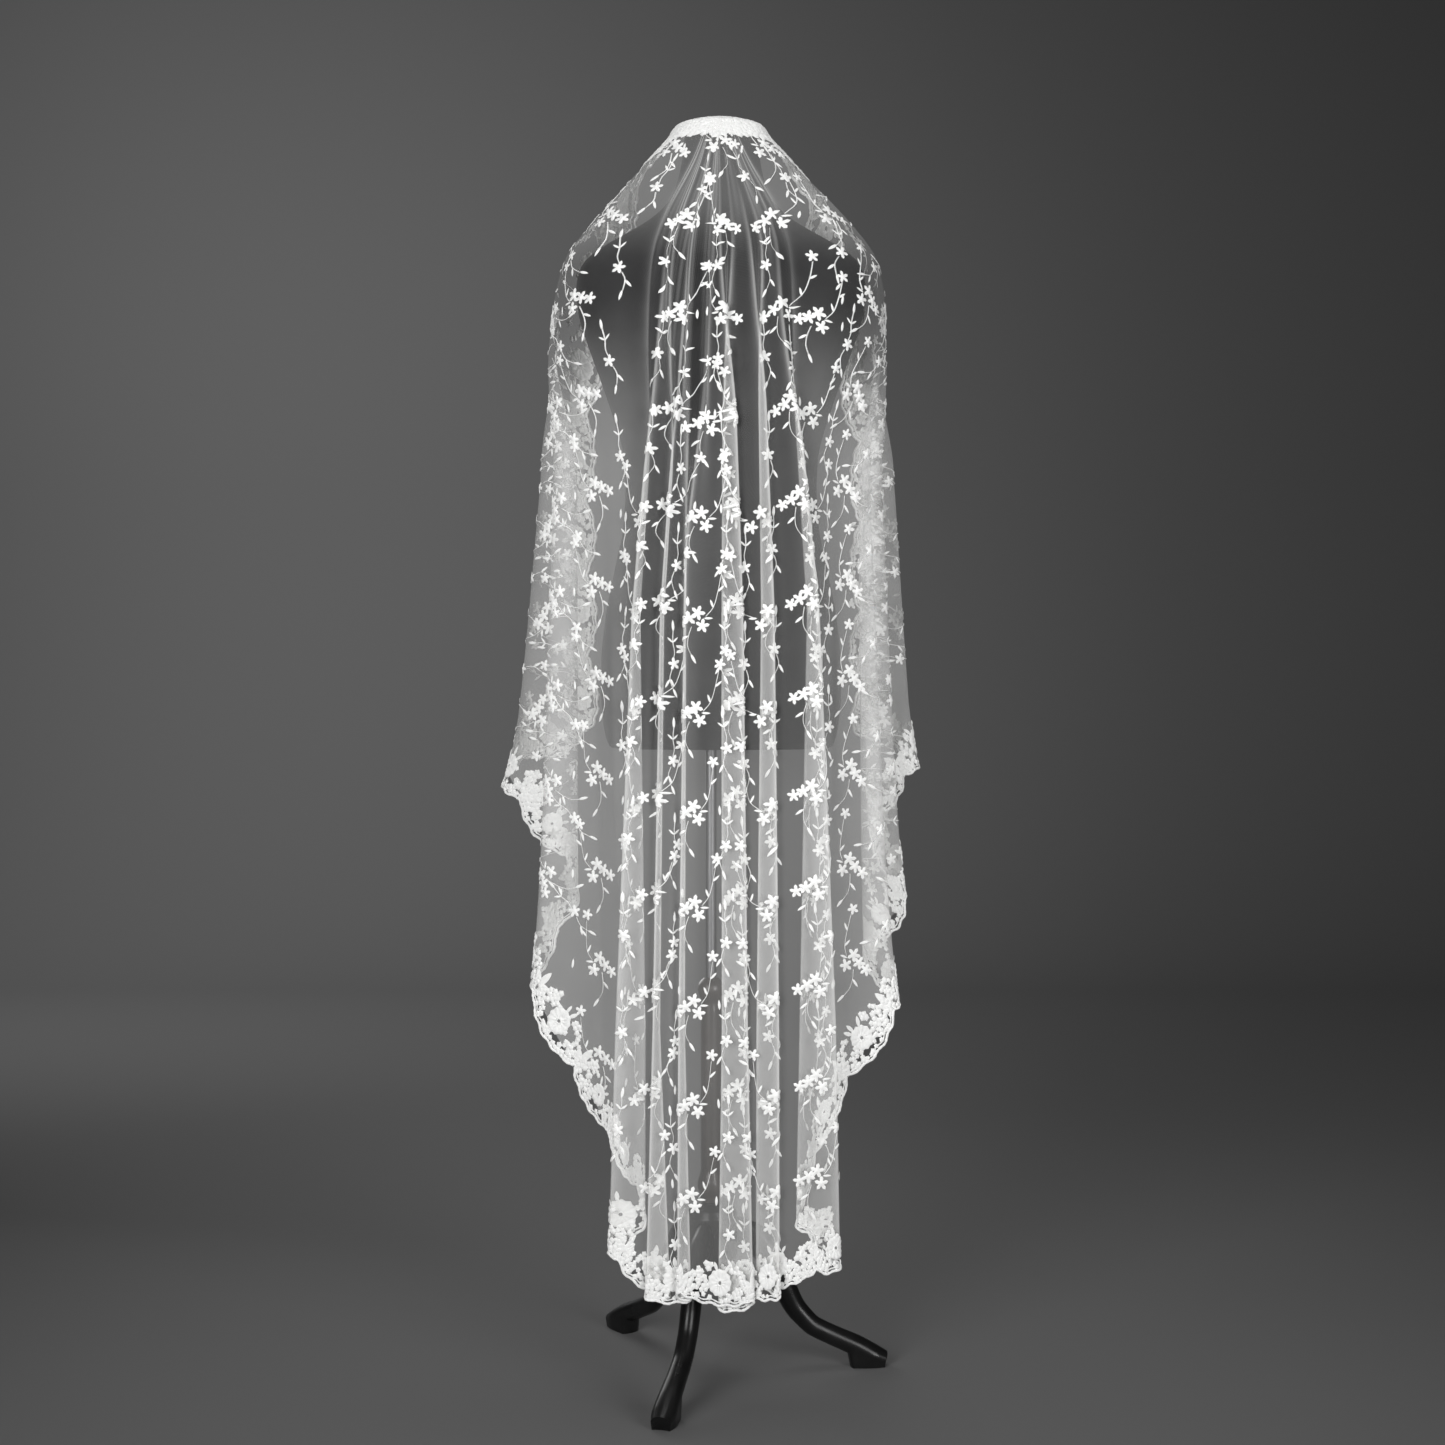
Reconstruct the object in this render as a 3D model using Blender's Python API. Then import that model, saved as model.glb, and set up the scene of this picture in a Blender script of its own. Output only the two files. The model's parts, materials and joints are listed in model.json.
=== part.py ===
"""Chapel veil of embroidered tulle with a scalloped lace border, draped over a dress form.

Metres, +Z up. The veil's long back faces -Y, the form's front faces +Y, and the part stands on the
three feet of the form's stand. Each name below is a real size or place in metres.
"""

import math
from collections import namedtuple

import bpy
import numpy as np
from mathutils import Matrix, Vector

# The cloth
TULLE_WALL = 0.0012
LACE_WALL = 0.0015
LACE_RELIEF = 0.0006
LACE_WIDTH = 0.055
LACE_STEEPEST = 1.6
SEAM_GAP = 0.0005
SCALLOP_LENGTH = 0.105
SCALLOP_DEPTH = 0.005
SCALLOP_MIDDLE = 0.6

# Heights that the drape is worked out from
RIM_HEIGHT = 1.546
SHOULDER_SPLIT = 1.36
CROWN_RISE = 0.015
CROWN_LIFT = 0.003
CROWN_BULGE = 0.004
CROWN_HALF_WIDTH = 0.050
CROWN_FORWARD = 0.030
CROWN_SIDE_FORWARD = 0.010
CROWN_SHARE = 0.07
RING_POWER = 2.5
RING_WIDEST_SHARE = 0.97
RIM_TURN = 0.70
RIM_TURN_DROP = 0.13
SECTION_EASE = 0.014
FRONT_EDGE_ANGLE = 138.0
SIDE_FOLD_START = 1.34
SIDE_FOLD_FULL = 1.12
TRACK_HEIGHTS = (1.30, 0.945, 0.45, 0.12)

# The ring round the form that the cloth follows before it folds, from the top down
Ring = namedtuple("Ring", "height centre_x half_width back front")
RINGS = (
    Ring(1.560, 0.0105, 0.050, 0.052, 0.020),
    Ring(1.546, 0.0105, 0.053, 0.055, 0.030),
    Ring(1.493, 0.0115, 0.099, 0.074, 0.082),
    Ring(1.436, 0.0120, 0.153, 0.092, 0.118),
    Ring(1.390, 0.0118, 0.192, 0.104, 0.130),
    Ring(1.355, 0.0110, 0.202, 0.112, 0.134),
    Ring(1.250, 0.0090, 0.216, 0.128, 0.140),
    Ring(1.000, 0.0060, 0.236, 0.135, 0.140),
    Ring(0.750, 0.0050, 0.232, 0.138, 0.140),
    Ring(0.450, 0.0050, 0.205, 0.140, 0.140),
    Ring(0.100, 0.0050, 0.200, 0.144, 0.140),
)

# The back's knife pleats, left to right: where the cloth of each comes from at the shoulder, the
# height where it starts, half the space between its layers, the way it turns, where its middle lies
# and how wide it is at the heights above, and how high the hem is at its first and at its last line
Pleat = namedtuple("Pleat", "gathered start depth turn middles widths hem_first hem_last")
LEFT_TURN = -1
RIGHT_TURN = 1
PLEATS = (
    Pleat(-0.068, 1.345, 0.0125, LEFT_TURN,
          (-0.062, -0.088, -0.095, -0.100), (0.002, 0.010, 0.036, 0.046), 0.235, 0.152),
    Pleat(-0.040, 1.340, 0.0105, LEFT_TURN,
          (-0.034, -0.057, -0.064, -0.062), (0.002, 0.005, 0.009, 0.030), 0.120, 0.118),
    Pleat(-0.014, 1.230, 0.0095, LEFT_TURN,
          (-0.026, -0.030, -0.034, -0.031), (0.001, 0.003, 0.008, 0.017), 0.122, 0.124),
    Pleat(0.018, 1.420, 0.0120, RIGHT_TURN,
          (0.021, 0.026, 0.029, 0.030), (0.012, 0.026, 0.031, 0.042), 0.114, 0.114),
    Pleat(0.056, 1.430, 0.0115, RIGHT_TURN,
          (0.059, 0.068, 0.068, 0.068), (0.007, 0.016, 0.027, 0.028), 0.128, 0.130),
    Pleat(0.092, 1.370, 0.0125, RIGHT_TURN,
          (0.094, 0.122, 0.128, 0.128), (0.002, 0.015, 0.044, 0.056), 0.142, 0.215),
)
PLEAT_LAYERS = (1.0, 0.6, 0.2, -0.2, -0.6, -1.0)
PLEAT_REACH = 0.25
PLEAT_LEAD = 0.05
PLEAT_GROWTH = 0.25
PLEAT_TOP_SPACING = 0.004
GAP_HEM_RISE = 0.012
GAP_START = 1.40
GAP_FULL = 1.15
GAP_VALLEY = 0.25

# The side cascades: where each fold line leaves the shoulder ring, where it hangs high up and at
# its hem, and how high the hem is. Left from the front edge to the back, right the other way round
SideLine = namedtuple("SideLine", "name angle x_high x_low y hem")
LEFT_LINES = (
    SideLine("front_edge", -138.0, -0.150, -0.145, 0.100, 0.785),
    SideLine("front_panel", -126.0, -0.185, -0.205, 0.112, 0.768),
    SideLine("tip_one_front", -117.0, -0.219, -0.270, 0.078, 0.738),
    SideLine("tip_one_back", -109.0, -0.219, -0.270, 0.048, 0.727),
    SideLine("inner_one_front", -100.0, -0.166, -0.163, 0.026, 0.600),
    SideLine("inner_one_back", -92.0, -0.166, -0.163, 0.000, 0.580),
    SideLine("tip_two_front", -84.0, -0.195, -0.227, -0.020, 0.478),
    SideLine("tip_two_back", -76.0, -0.195, -0.227, -0.044, 0.466),
    SideLine("back_panel", -65.0, -0.152, -0.142, -0.064, 0.330),
    SideLine("back_gap_out", -50.0, -0.125, -0.120, -0.082, 0.290),
    SideLine("back_gap_in", -36.0, -0.102, -0.100, -0.096, 0.255),
)
RIGHT_LINES = (
    SideLine("back_gap_in", 36.0, 0.124, 0.118, -0.096, 0.250),
    SideLine("back_gap_out", 49.0, 0.142, 0.138, -0.080, 0.300),
    SideLine("back_panel", 61.0, 0.160, 0.166, -0.064, 0.365),
    SideLine("tip_three_back", 70.0, 0.196, 0.236, -0.050, 0.448),
    SideLine("tip_three_front", 76.0, 0.196, 0.236, -0.032, 0.458),
    SideLine("inner_two_back", 83.0, 0.182, 0.188, -0.018, 0.505),
    SideLine("inner_two_front", 88.0, 0.182, 0.188, -0.004, 0.520),
    SideLine("tip_two_back", 95.0, 0.216, 0.251, 0.010, 0.562),
    SideLine("tip_two_front", 100.0, 0.216, 0.251, 0.026, 0.575),
    SideLine("inner_one_back", 106.0, 0.190, 0.198, 0.038, 0.650),
    SideLine("inner_one_front", 111.0, 0.190, 0.198, 0.054, 0.668),
    SideLine("tip_one_back", 117.0, 0.236, 0.270, 0.066, 0.745),
    SideLine("tip_one_front", 123.0, 0.236, 0.270, 0.088, 0.757),
    SideLine("front_panel", 130.0, 0.208, 0.228, 0.114, 0.778),
    SideLine("front_edge", 138.0, 0.180, 0.178, 0.102, 0.790),
)
SIDE_STEADY_SHARE = 0.70
SIDE_FLARE_POWER = 6
BELOW_HEM_SHARE = 1.06
LEAST_FOLD_REACH = 0.01

# How finely the cloth is divided
HEM_STEP = 0.021
HEM_TURN = math.radians(38)
TURN_HEIGHTS = (0.80, 0.30)
HEM_SAMPLES = 3000
NORMAL_STEP_ACROSS = 2e-4
NORMAL_STEP_DOWN = 1e-3
EDGE_SEARCH_REACH = 0.45
EDGE_SEARCH_STEPS = 160
SEAM_FIRST_U = 0.06
SEAM_ROUNDS = 6
LEAST_LEVEL_RUN = 0.1
LACE_EASE = 0.12
SEAM_FOLLOW = 2
TENT_COLUMNS = 46
TENT_SHARES = (0.0, 0.12, 0.32, 0.62, 1.0)
TENT_ROWS = len(TENT_SHARES) + 1
DROP_SHARES = (0.0, 0.035, 0.075, 0.12, 0.175, 0.25, 0.35, 0.50, 0.73, 1.0)
LACE_SHARES = (0.0, 0.45, 0.85, 1.0)
LACE_BANDS = (0.45 * LACE_WIDTH, 0.40 * LACE_WIDTH, 0.15 * LACE_WIDTH)
CROWN_LACE_FOOT = 0.66 * CROWN_SHARE
CROWN_LACE_NARROW = 0.5
FRONT_LACE_FULL = 0.17
CROWN_CORNER_SHARE = 0.22
CROWN_LACE_COLUMNS = 26
FRONT_LACE_STEP = 0.021
HOLE_LEAST = 0.015
HOLE_MOST = 0.012
HOLE_CELL_SHARE = 0.66
HOLE_OUTER_FROM = 0.22
LEFT_SPLIT_LINE = 10
RIGHT_SPLIT_LINE = len(LEFT_LINES) + (len(PLEAT_LAYERS) + 1) * len(PLEATS) - 1

# The dress form: sections from the top of the neck to the base
FormSection = namedtuple("FormSection", "height half_width half_depth forward")
FORM_CENTRE_X = 0.0125
FORM_SECTIONS = (
    FormSection(1.539, 0.0455, 0.0460, 0.000),
    FormSection(1.500, 0.0500, 0.0500, 0.000),
    FormSection(1.478, 0.0560, 0.0540, 0.002),
    FormSection(1.455, 0.0670, 0.0600, 0.006),
    FormSection(1.432, 0.0950, 0.0660, 0.010),
    FormSection(1.410, 0.1400, 0.0720, 0.012),
    FormSection(1.388, 0.1740, 0.0780, 0.012),
    FormSection(1.360, 0.1820, 0.0860, 0.014),
    FormSection(1.320, 0.1790, 0.0960, 0.016),
    FormSection(1.280, 0.1660, 0.1050, 0.020),
    FormSection(1.240, 0.1510, 0.1100, 0.024),
    FormSection(1.190, 0.1340, 0.1030, 0.022),
    FormSection(1.150, 0.1220, 0.0920, 0.014),
    FormSection(1.100, 0.1190, 0.0850, 0.006),
    FormSection(1.050, 0.1220, 0.0860, 0.000),
    FormSection(1.000, 0.1330, 0.0930, -0.002),
    FormSection(0.950, 0.1430, 0.1000, -0.003),
    FormSection(0.900, 0.1490, 0.1040, -0.004),
    FormSection(0.840, 0.1500, 0.1040, -0.002),
    FormSection(0.795, 0.1450, 0.1000, 0.000),
    FormSection(0.780, 0.1380, 0.0950, 0.000),
)
FORM_POWER = 2.2
FORM_SEGMENTS = 28
NECK_CAP_RADIUS = 0.0465
NECK_CAP_THICKNESS = 0.0045
NECK_CAP_BEVEL = 0.0012

# The stand, turned round the pole's axis at X = 0, Y = 0
Turned = namedtuple("Turned", "height radius")
PIECE_GAP = 0.0003
ROD_RADIUS = 0.0069
ROD_TOP = 0.7797
ROD_FOOT = 0.4930
COLUMN_PROFILE = (
    Turned(0.4927, 0.0090),
    Turned(0.4860, 0.0155),
    Turned(0.4780, 0.0175),
    Turned(0.4700, 0.0155),
    Turned(0.4640, 0.0120),
    Turned(0.4500, 0.0128),
    Turned(0.3000, 0.0132),
    Turned(0.2500, 0.0128),
    Turned(0.2360, 0.0170),
    Turned(0.2270, 0.0170),
    Turned(0.2180, 0.0130),
    Turned(0.2123, 0.0130),
)
HUB_PROFILE = (
    Turned(0.2120, 0.0200),
    Turned(0.2050, 0.0290),
    Turned(0.1950, 0.0330),
    Turned(0.1450, 0.0330),
    Turned(0.1350, 0.0290),
    Turned(0.1250, 0.0150),
    Turned(0.1150, 0.0090),
)
TURNED_SEGMENTS = 20

# One curved leg, from the hub to the toe: distance from the axis, height of its middle, half its
# height and half its width
LegSection = namedtuple("LegSection", "out height half_height half_width")
LEG_SECTIONS = (
    LegSection(0.0336, 0.1720, 0.0200, 0.0115),
    LegSection(0.0560, 0.1640, 0.0185, 0.0120),
    LegSection(0.0760, 0.1400, 0.0165, 0.0125),
    LegSection(0.0900, 0.1080, 0.0150, 0.0125),
    LegSection(0.1050, 0.0760, 0.0135, 0.0120),
    LegSection(0.1270, 0.0520, 0.0125, 0.0120),
    LegSection(0.1560, 0.0380, 0.0125, 0.0125),
    LegSection(0.1850, 0.0250, 0.0130, 0.0140),
    LegSection(0.2060, 0.0140, 0.0120, 0.0155),
    LegSection(0.2200, 0.0090, 0.0090, 0.0120),
)
LEG_SEGMENTS = 10
FOOT_FROM = 0.180
SOLE_BELOW = -0.3
LEG_ANGLES = {"stand_leg_right": 4.0, "stand_leg_left": 127.0, "stand_leg_camera": -105.0}

# How each finish looks in plain view: its colour, its roughness and whether it is metal
Finish = namedtuple("Finish", "colour roughness metallic")
FINISHES = {
    "black_jersey": Finish((0.018, 0.018, 0.020), 0.85, 0.0),
    "black_cap": Finish((0.012, 0.012, 0.012), 0.35, 0.0),
    "grey_metal": Finish((0.45, 0.45, 0.46), 0.30, 1.0),
    "dark_wood": Finish((0.035, 0.028, 0.024), 0.40, 0.0),
    "black_gloss": Finish((0.010, 0.010, 0.010), 0.15, 0.0),
    "white_tulle": Finish((0.86, 0.86, 0.85), 0.80, 0.0),
    "white_lace": Finish((0.90, 0.90, 0.89), 0.70, 0.0),
}
SHARP_ANGLE = math.radians(40)


def clear_scene():
    """Removes what the file holds, so that only this part is in it."""
    for thing in list(bpy.data.objects):
        bpy.data.objects.remove(thing, do_unlink=True)


def soft_step(share):
    """A smooth rise from 0 to 1 as share goes from 0 to 1."""
    share = np.clip(share, 0.0, 1.0)
    return share * share * (3.0 - 2.0 * share)


def table_at(rows, field, height):
    """A field of a table of sections, read at any height and eased over a few centimetres."""
    heights = [row.height for row in rows][::-1]
    values = [getattr(row, field) for row in rows][::-1]
    shifts = (-SECTION_EASE, 0.0, SECTION_EASE)
    near = [np.interp(height + shift, heights, values) for shift in shifts]
    return 0.25 * near[0] + 0.5 * near[1] + 0.25 * near[2]


class Drape:
    """The veil's middle surface, from its front edge over the crown down to the hem.

    Its control lines run from the crown to the hem, in order from the left front edge round the
    back to the right front edge. A cubic B-spline across them gives the cloth's section.
    """

    def __init__(self):
        self.angle, self.hem, self.start, self.full = [], [], [], []
        self.pleat_middles, self.pleat_widths = [], []
        self.side, self.offset, self.on_back = [], [], []
        self.x_high, self.x_low, self.y_side = [], [], []
        for line in LEFT_LINES:
            self.add_side_line(line)
        for number, pleat in enumerate(PLEATS):
            self.add_pleat(pleat)
            if number + 1 < len(PLEATS):
                self.add_gap(pleat, PLEATS[number + 1])
        for line in RIGHT_LINES:
            self.add_side_line(line)
        for name, value in vars(self).items():
            setattr(self, name, np.array(value, float))
        self.lines = len(self.angle)
        self.lace_rise = self.hem_lace_rise()

    def add_line(self, angle, hem, start, full, middles, widths, side, offset, on_back, track):
        """One control line, with the values of either kind of line."""
        self.angle.append(angle)
        self.hem.append(hem)
        self.start.append(start)
        self.full.append(full)
        self.pleat_middles.append(middles)
        self.pleat_widths.append(widths)
        self.side.append(side)
        self.offset.append(offset)
        self.on_back.append(on_back)
        self.x_high.append(track[0])
        self.x_low.append(track[1])
        self.y_side.append(track[2])

    def add_side_line(self, line):
        """A fold line of a side cascade."""
        none = (0.0,) * len(TRACK_HEIGHTS)
        track = (line.x_high, line.x_low, line.y)
        self.add_line(line.angle, line.hem, SIDE_FOLD_START, SIDE_FOLD_FULL, none, none, 0, 0, 0, track)

    def add_pleat(self, pleat):
        """The lines of a knife pleat: half of them at its right turn, then half at its left turn."""
        last = len(PLEAT_LAYERS) - 1
        for number, layer in enumerate(PLEAT_LAYERS):
            spread = (number - last / 2.0) * PLEAT_TOP_SPACING
            angle = ring_angle(pleat.gathered + spread, TRACK_HEIGHTS[0])
            hem = pleat.hem_first + (pleat.hem_last - pleat.hem_first) * number / last
            self.add_line(angle, hem, pleat.start, pleat.start - PLEAT_REACH, pleat.middles, pleat.widths,
                          1 if layer > 0.0 else -1, pleat.turn * layer * pleat.depth, 1, (0.0, 0.0, 0.0))

    def add_gap(self, before, after):
        """The single layer between two pleats, a little further in than they are."""
        right_edges = np.array(before.middles) + np.array(before.widths) / 2.0
        left_edges = np.array(after.middles) - np.array(after.widths) / 2.0
        middles = (right_edges + left_edges) / 2.0
        angle = ring_angle((before.gathered + after.gathered) / 2.0, TRACK_HEIGHTS[0])
        hem = (before.hem_last + after.hem_first) / 2.0 + GAP_HEM_RISE
        valley = 0.0 if before.turn == after.turn else -GAP_VALLEY * before.depth
        self.add_line(angle, hem, GAP_START, GAP_FULL, middles, np.zeros(len(middles)), 0, valley, 1,
                      (0.0, 0.0, 0.0))

    def track(self, line, height):
        """Where a control line hangs once it has left the ring: x and y at a height."""
        order = np.array(TRACK_HEIGHTS[::-1])
        place = np.interp(height, order, np.arange(len(order), dtype=float))
        low = np.clip(np.floor(place).astype(int), 0, len(order) - 2)
        share = place - low
        middles = self.pleat_middles[:, ::-1]
        widths = self.pleat_widths[:, ::-1]
        middle = middles[line, low] * (1.0 - share) + middles[line, low + 1] * share
        width = widths[line, low] * (1.0 - share) + widths[line, low + 1] * share
        back_x = middle + self.side[line] * width / 2.0
        back_y = ring_back_y(back_x, height)
        down = np.clip((SIDE_FOLD_FULL - height) / (SIDE_FOLD_FULL - self.hem[line]), 0.0,
                       BELOW_HEM_SHARE)
        flare = SIDE_STEADY_SHARE * down + (1.0 - SIDE_STEADY_SHARE) * down ** SIDE_FLARE_POWER
        side_x = self.x_high[line] + (self.x_low[line] - self.x_high[line]) * flare
        on_back = self.on_back[line]
        x = on_back * back_x + (1.0 - on_back) * side_x
        y = on_back * back_y + (1.0 - on_back) * self.y_side[line]
        return x, y

    def spline(self, u):
        """The four control lines that act at u, and the weight of each."""
        spans = self.lines + 1
        place = np.clip(u, 0.0, 1.0) * spans
        span = np.minimum(np.floor(place).astype(int), spans - 1)
        t = place - span
        weights = (
            (1.0 - t) ** 3 / 6.0,
            (3.0 * t**3 - 6.0 * t**2 + 4.0) / 6.0,
            (-3.0 * t**3 + 3.0 * t**2 + 3.0 * t + 1.0) / 6.0,
            t**3 / 6.0,
        )
        return [(np.clip(span - 2 + i, 0, self.lines - 1), weights[i]) for i in range(4)]

    def blended(self, values, u):
        """A value that each control line has, read at u."""
        return sum(weight * values[line] for line, weight in self.spline(u))

    def hem_height(self, u):
        """How high the hem is at u."""
        return self.blended(self.hem, u)

    def at_height(self, u, height):
        """The cloth's point at u and at a height below the neck's rim."""
        u, height = np.broadcast_arrays(u, height)
        angle = self.blended(self.angle, u)
        ring_x, ring_y = ring_point(angle, height)
        x, y, folded = 0.0, 0.0, 0.0
        for line, weight in self.spline(u):
            reach = np.maximum(self.start[line] - self.full[line], LEAST_FOLD_REACH)
            share = weight * soft_step((self.start[line] - height) / reach)
            track_x, track_y = self.track(line, height)
            grown = soft_step((self.start[line] + PLEAT_LEAD - height) / PLEAT_GROWTH)
            x = x + share * track_x
            y = y + share * track_y - weight * grown * self.offset[line]
            folded = folded + share
        return np.stack([x + (1.0 - folded) * ring_x, y + (1.0 - folded) * ring_y, height], axis=-1)

    def crown(self, u, share):
        """The cloth over the top of the neck, from the front edge at share 0 to the rim at 1."""
        turn = self.blended(self.angle, u) / FRONT_EDGE_ANGLE * math.pi / 2.0
        centre = table_at(RINGS, "centre_x", np.full_like(turn, RIM_HEIGHT))
        arch = np.stack([
            centre + CROWN_HALF_WIDTH * np.sin(turn),
            CROWN_SIDE_FORWARD + (CROWN_FORWARD - CROWN_SIDE_FORWARD) * np.cos(turn),
            RIM_HEIGHT + CROWN_LIFT + CROWN_RISE * np.cos(turn),
        ], axis=-1)
        rim = self.at_height(u, np.full_like(turn, RIM_HEIGHT))
        mix = share[..., None]
        point = (1.0 - mix) * arch + mix * rim
        point[..., 2] += CROWN_BULGE * np.sin(math.pi * share) * np.cos(turn)
        return point

    def point(self, u, v):
        """The cloth's point at u across and v down, both from 0 to 1."""
        u, v = np.broadcast_arrays(np.asarray(u, float), np.asarray(v, float))
        over = self.crown(u, np.clip(v / CROWN_SHARE, 0.0, 1.0))
        down = np.clip((v - CROWN_SHARE) / (1.0 - CROWN_SHARE), 0.0, None)
        height = RIM_HEIGHT - (RIM_HEIGHT - self.hem_height(u)) * down
        hanging = self.at_height(u, height)
        return np.where((v < CROWN_SHARE)[..., None], over, hanging)

    def normal(self, u, v):
        """The unit vector out of the cloth's face, away from the form."""
        du, dv = NORMAL_STEP_ACROSS, NORMAL_STEP_DOWN
        across = self.point(np.clip(u + du, 0, 1), v) - self.point(np.clip(u - du, 0, 1), v)
        down = self.point(u, np.clip(v + dv, 0, 1)) - self.point(u, np.clip(v - dv, 0, 1))
        out = np.cross(down, across)
        return out / np.maximum(np.linalg.norm(out, axis=-1, keepdims=True), 1e-12)

    def line_u(self, line):
        """The u at which a control line acts most."""
        return (line + 1.0) / (self.lines + 1.0)

    def v_at_height(self, u, height):
        """The v at which the cloth at u is at a height."""
        share = (RIM_HEIGHT - height) / (RIM_HEIGHT - self.hem_height(u))
        return CROWN_SHARE + (1.0 - CROWN_SHARE) * share

    def hem_lace_rise(self):
        """How far above the hem its lace reaches, for evenly spaced u: more where the hem is steep."""
        u = np.linspace(0.0, 1.0, HEM_SAMPLES)
        hem = self.point(u, np.ones_like(u))
        run = edge_run(hem)
        even = np.linspace(0.0, run[-1], HEM_SAMPLES)
        level = np.concatenate([[0.0], np.cumsum(np.linalg.norm(np.diff(hem[:, :2], axis=0), axis=-1))])
        window = max(3, int(LACE_EASE / run[-1] * HEM_SAMPLES))
        kernel = np.hanning(window) / np.hanning(window).sum()
        parts = []
        for values in (np.abs(np.gradient(hem[:, 2], run)), np.gradient(level, run)):
            padded = np.pad(np.interp(even, run, values), window, mode="edge")
            parts.append(np.convolve(padded, kernel, mode="same")[window:-window])
        steep = np.minimum(parts[0] / np.maximum(parts[1], LEAST_LEVEL_RUN), LACE_STEEPEST)
        return u, np.interp(run, even, LACE_WIDTH * np.sqrt(1.0 + steep**2))

    def lace_v(self, u):
        """The v at which the hem's lace meets the tulle."""
        return self.v_at_height(u, self.hem_height(u) + np.interp(u, *self.lace_rise))

    def front_lace_u(self, v, from_right, share=0.0):
        """The u in the front edge's lace for each v: at share 0 beside the tulle, at 1 on the edge."""
        v = np.asarray(v, float)
        shares = np.linspace(0.0, EDGE_SEARCH_REACH, EDGE_SEARCH_STEPS)
        u = 1.0 - shares if from_right else shares
        rows = self.point(u[None, :], v[:, None])
        steps = np.linalg.norm(np.diff(rows, axis=1), axis=-1)
        lengths = np.concatenate([np.zeros((len(rows), 1)), np.cumsum(steps, axis=1)], axis=1)
        spread = soft_step((v - CROWN_LACE_FOOT) / (FRONT_LACE_FULL - CROWN_LACE_FOOT))
        widths = LACE_WIDTH * (CROWN_LACE_NARROW + (1.0 - CROWN_LACE_NARROW) * spread) * (1.0 - share)
        return np.array([np.interp(width, length, u) for width, length in zip(widths, lengths)])

    def u_at_angle(self, angle):
        """The u of the cloth that comes over the neck at an angle from the back."""
        u = np.linspace(0.0, 1.0, HEM_SAMPLES)
        return np.interp(angle, self.blended(self.angle, u), u)


def ring_values(height):
    """The ring's centre, half width, back and front depth at a height."""
    return [table_at(RINGS, field, height) for field in ("centre_x", "half_width", "back", "front")]


def ring_back_y(x, height):
    """How far back the ring lies at an x."""
    centre, half_width, back, _ = ring_values(height)
    share = np.clip(np.abs(x - centre) / half_width, 0.0, RING_WIDEST_SHARE)
    return -back * (1.0 - share**RING_POWER) ** (1.0 / RING_POWER)


def ring_angle(x, height):
    """The angle from the back, in degrees, at which the ring has an x."""
    centre, half_width, _, _ = ring_values(height)
    return math.degrees(math.asin(float((x - centre) / half_width)))


def ring_point(angle, height):
    """The ring's x and y at an angle from the back. Near the neck the cloth reaches less far round."""
    centre, half_width, back, front = ring_values(height)
    turned = RIM_TURN + (1.0 - RIM_TURN) * soft_step((RIM_HEIGHT - height) / RIM_TURN_DROP)
    turn = np.radians(angle * turned)
    sine, cosine = np.sin(turn), np.cos(turn)
    depth = np.where(cosine > 0.0, -back, front)
    bow = np.clip(1.0 - np.abs(sine) ** RING_POWER, 0.0, 1.0) ** (1.0 / RING_POWER)
    bow = np.where(cosine > 0.0, bow, np.abs(cosine))
    return centre + half_width * sine, depth * bow


def column_measure(drape):
    """How many columns the cloth needs up to each u: more at a turn, fewer on a flat run."""
    u = np.linspace(0.0, 1.0, HEM_SAMPLES)
    hem = drape.point(u, np.ones_like(u))
    needs = np.linalg.norm(np.diff(hem, axis=0), axis=-1) / HEM_STEP
    for height in TURN_HEIGHTS:
        level = drape.at_height(u, np.maximum(height, drape.hem_height(u)))
        heading = np.unwrap(np.arctan2(np.diff(level[:, 1]), np.diff(level[:, 0])))
        turning = np.abs(np.gradient(heading)) / HEM_TURN
        needs = np.maximum(needs, turning)
    return u, np.concatenate([[0.0], np.cumsum(needs)])


def unit(vectors):
    """Vectors of length one."""
    return vectors / np.maximum(np.linalg.norm(vectors, axis=-1, keepdims=True), 1e-9)


def pulled_in(points, normals, sides):
    """The grid with its named edges drawn in by half a seam's gap, square to the seam."""
    moved = points.copy()
    edges = {
        "top": (np.s_[0], np.s_[1]),
        "bottom": (np.s_[-1], np.s_[-2]),
        "left": (np.s_[:, 0], np.s_[:, 1]),
        "right": (np.s_[:, -1], np.s_[:, -2]),
    }
    for side in sides:
        edge, inner = edges[side]
        along = unit(np.gradient(points[edge], axis=0))
        away = unit(np.cross(normals[edge], along))
        inwards = np.sign((away * (points[inner] - points[edge])).sum())
        moved[edge] += inwards * away * SEAM_GAP / 2.0
    return moved


def in_cell(corners, across, down):
    """A point inside a cell of four corners, given in order round the cell."""
    top = corners[0] * (1.0 - across) + corners[3] * across
    foot = corners[1] * (1.0 - across) + corners[2] * across
    return top * (1.0 - down) + foot * down


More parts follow.
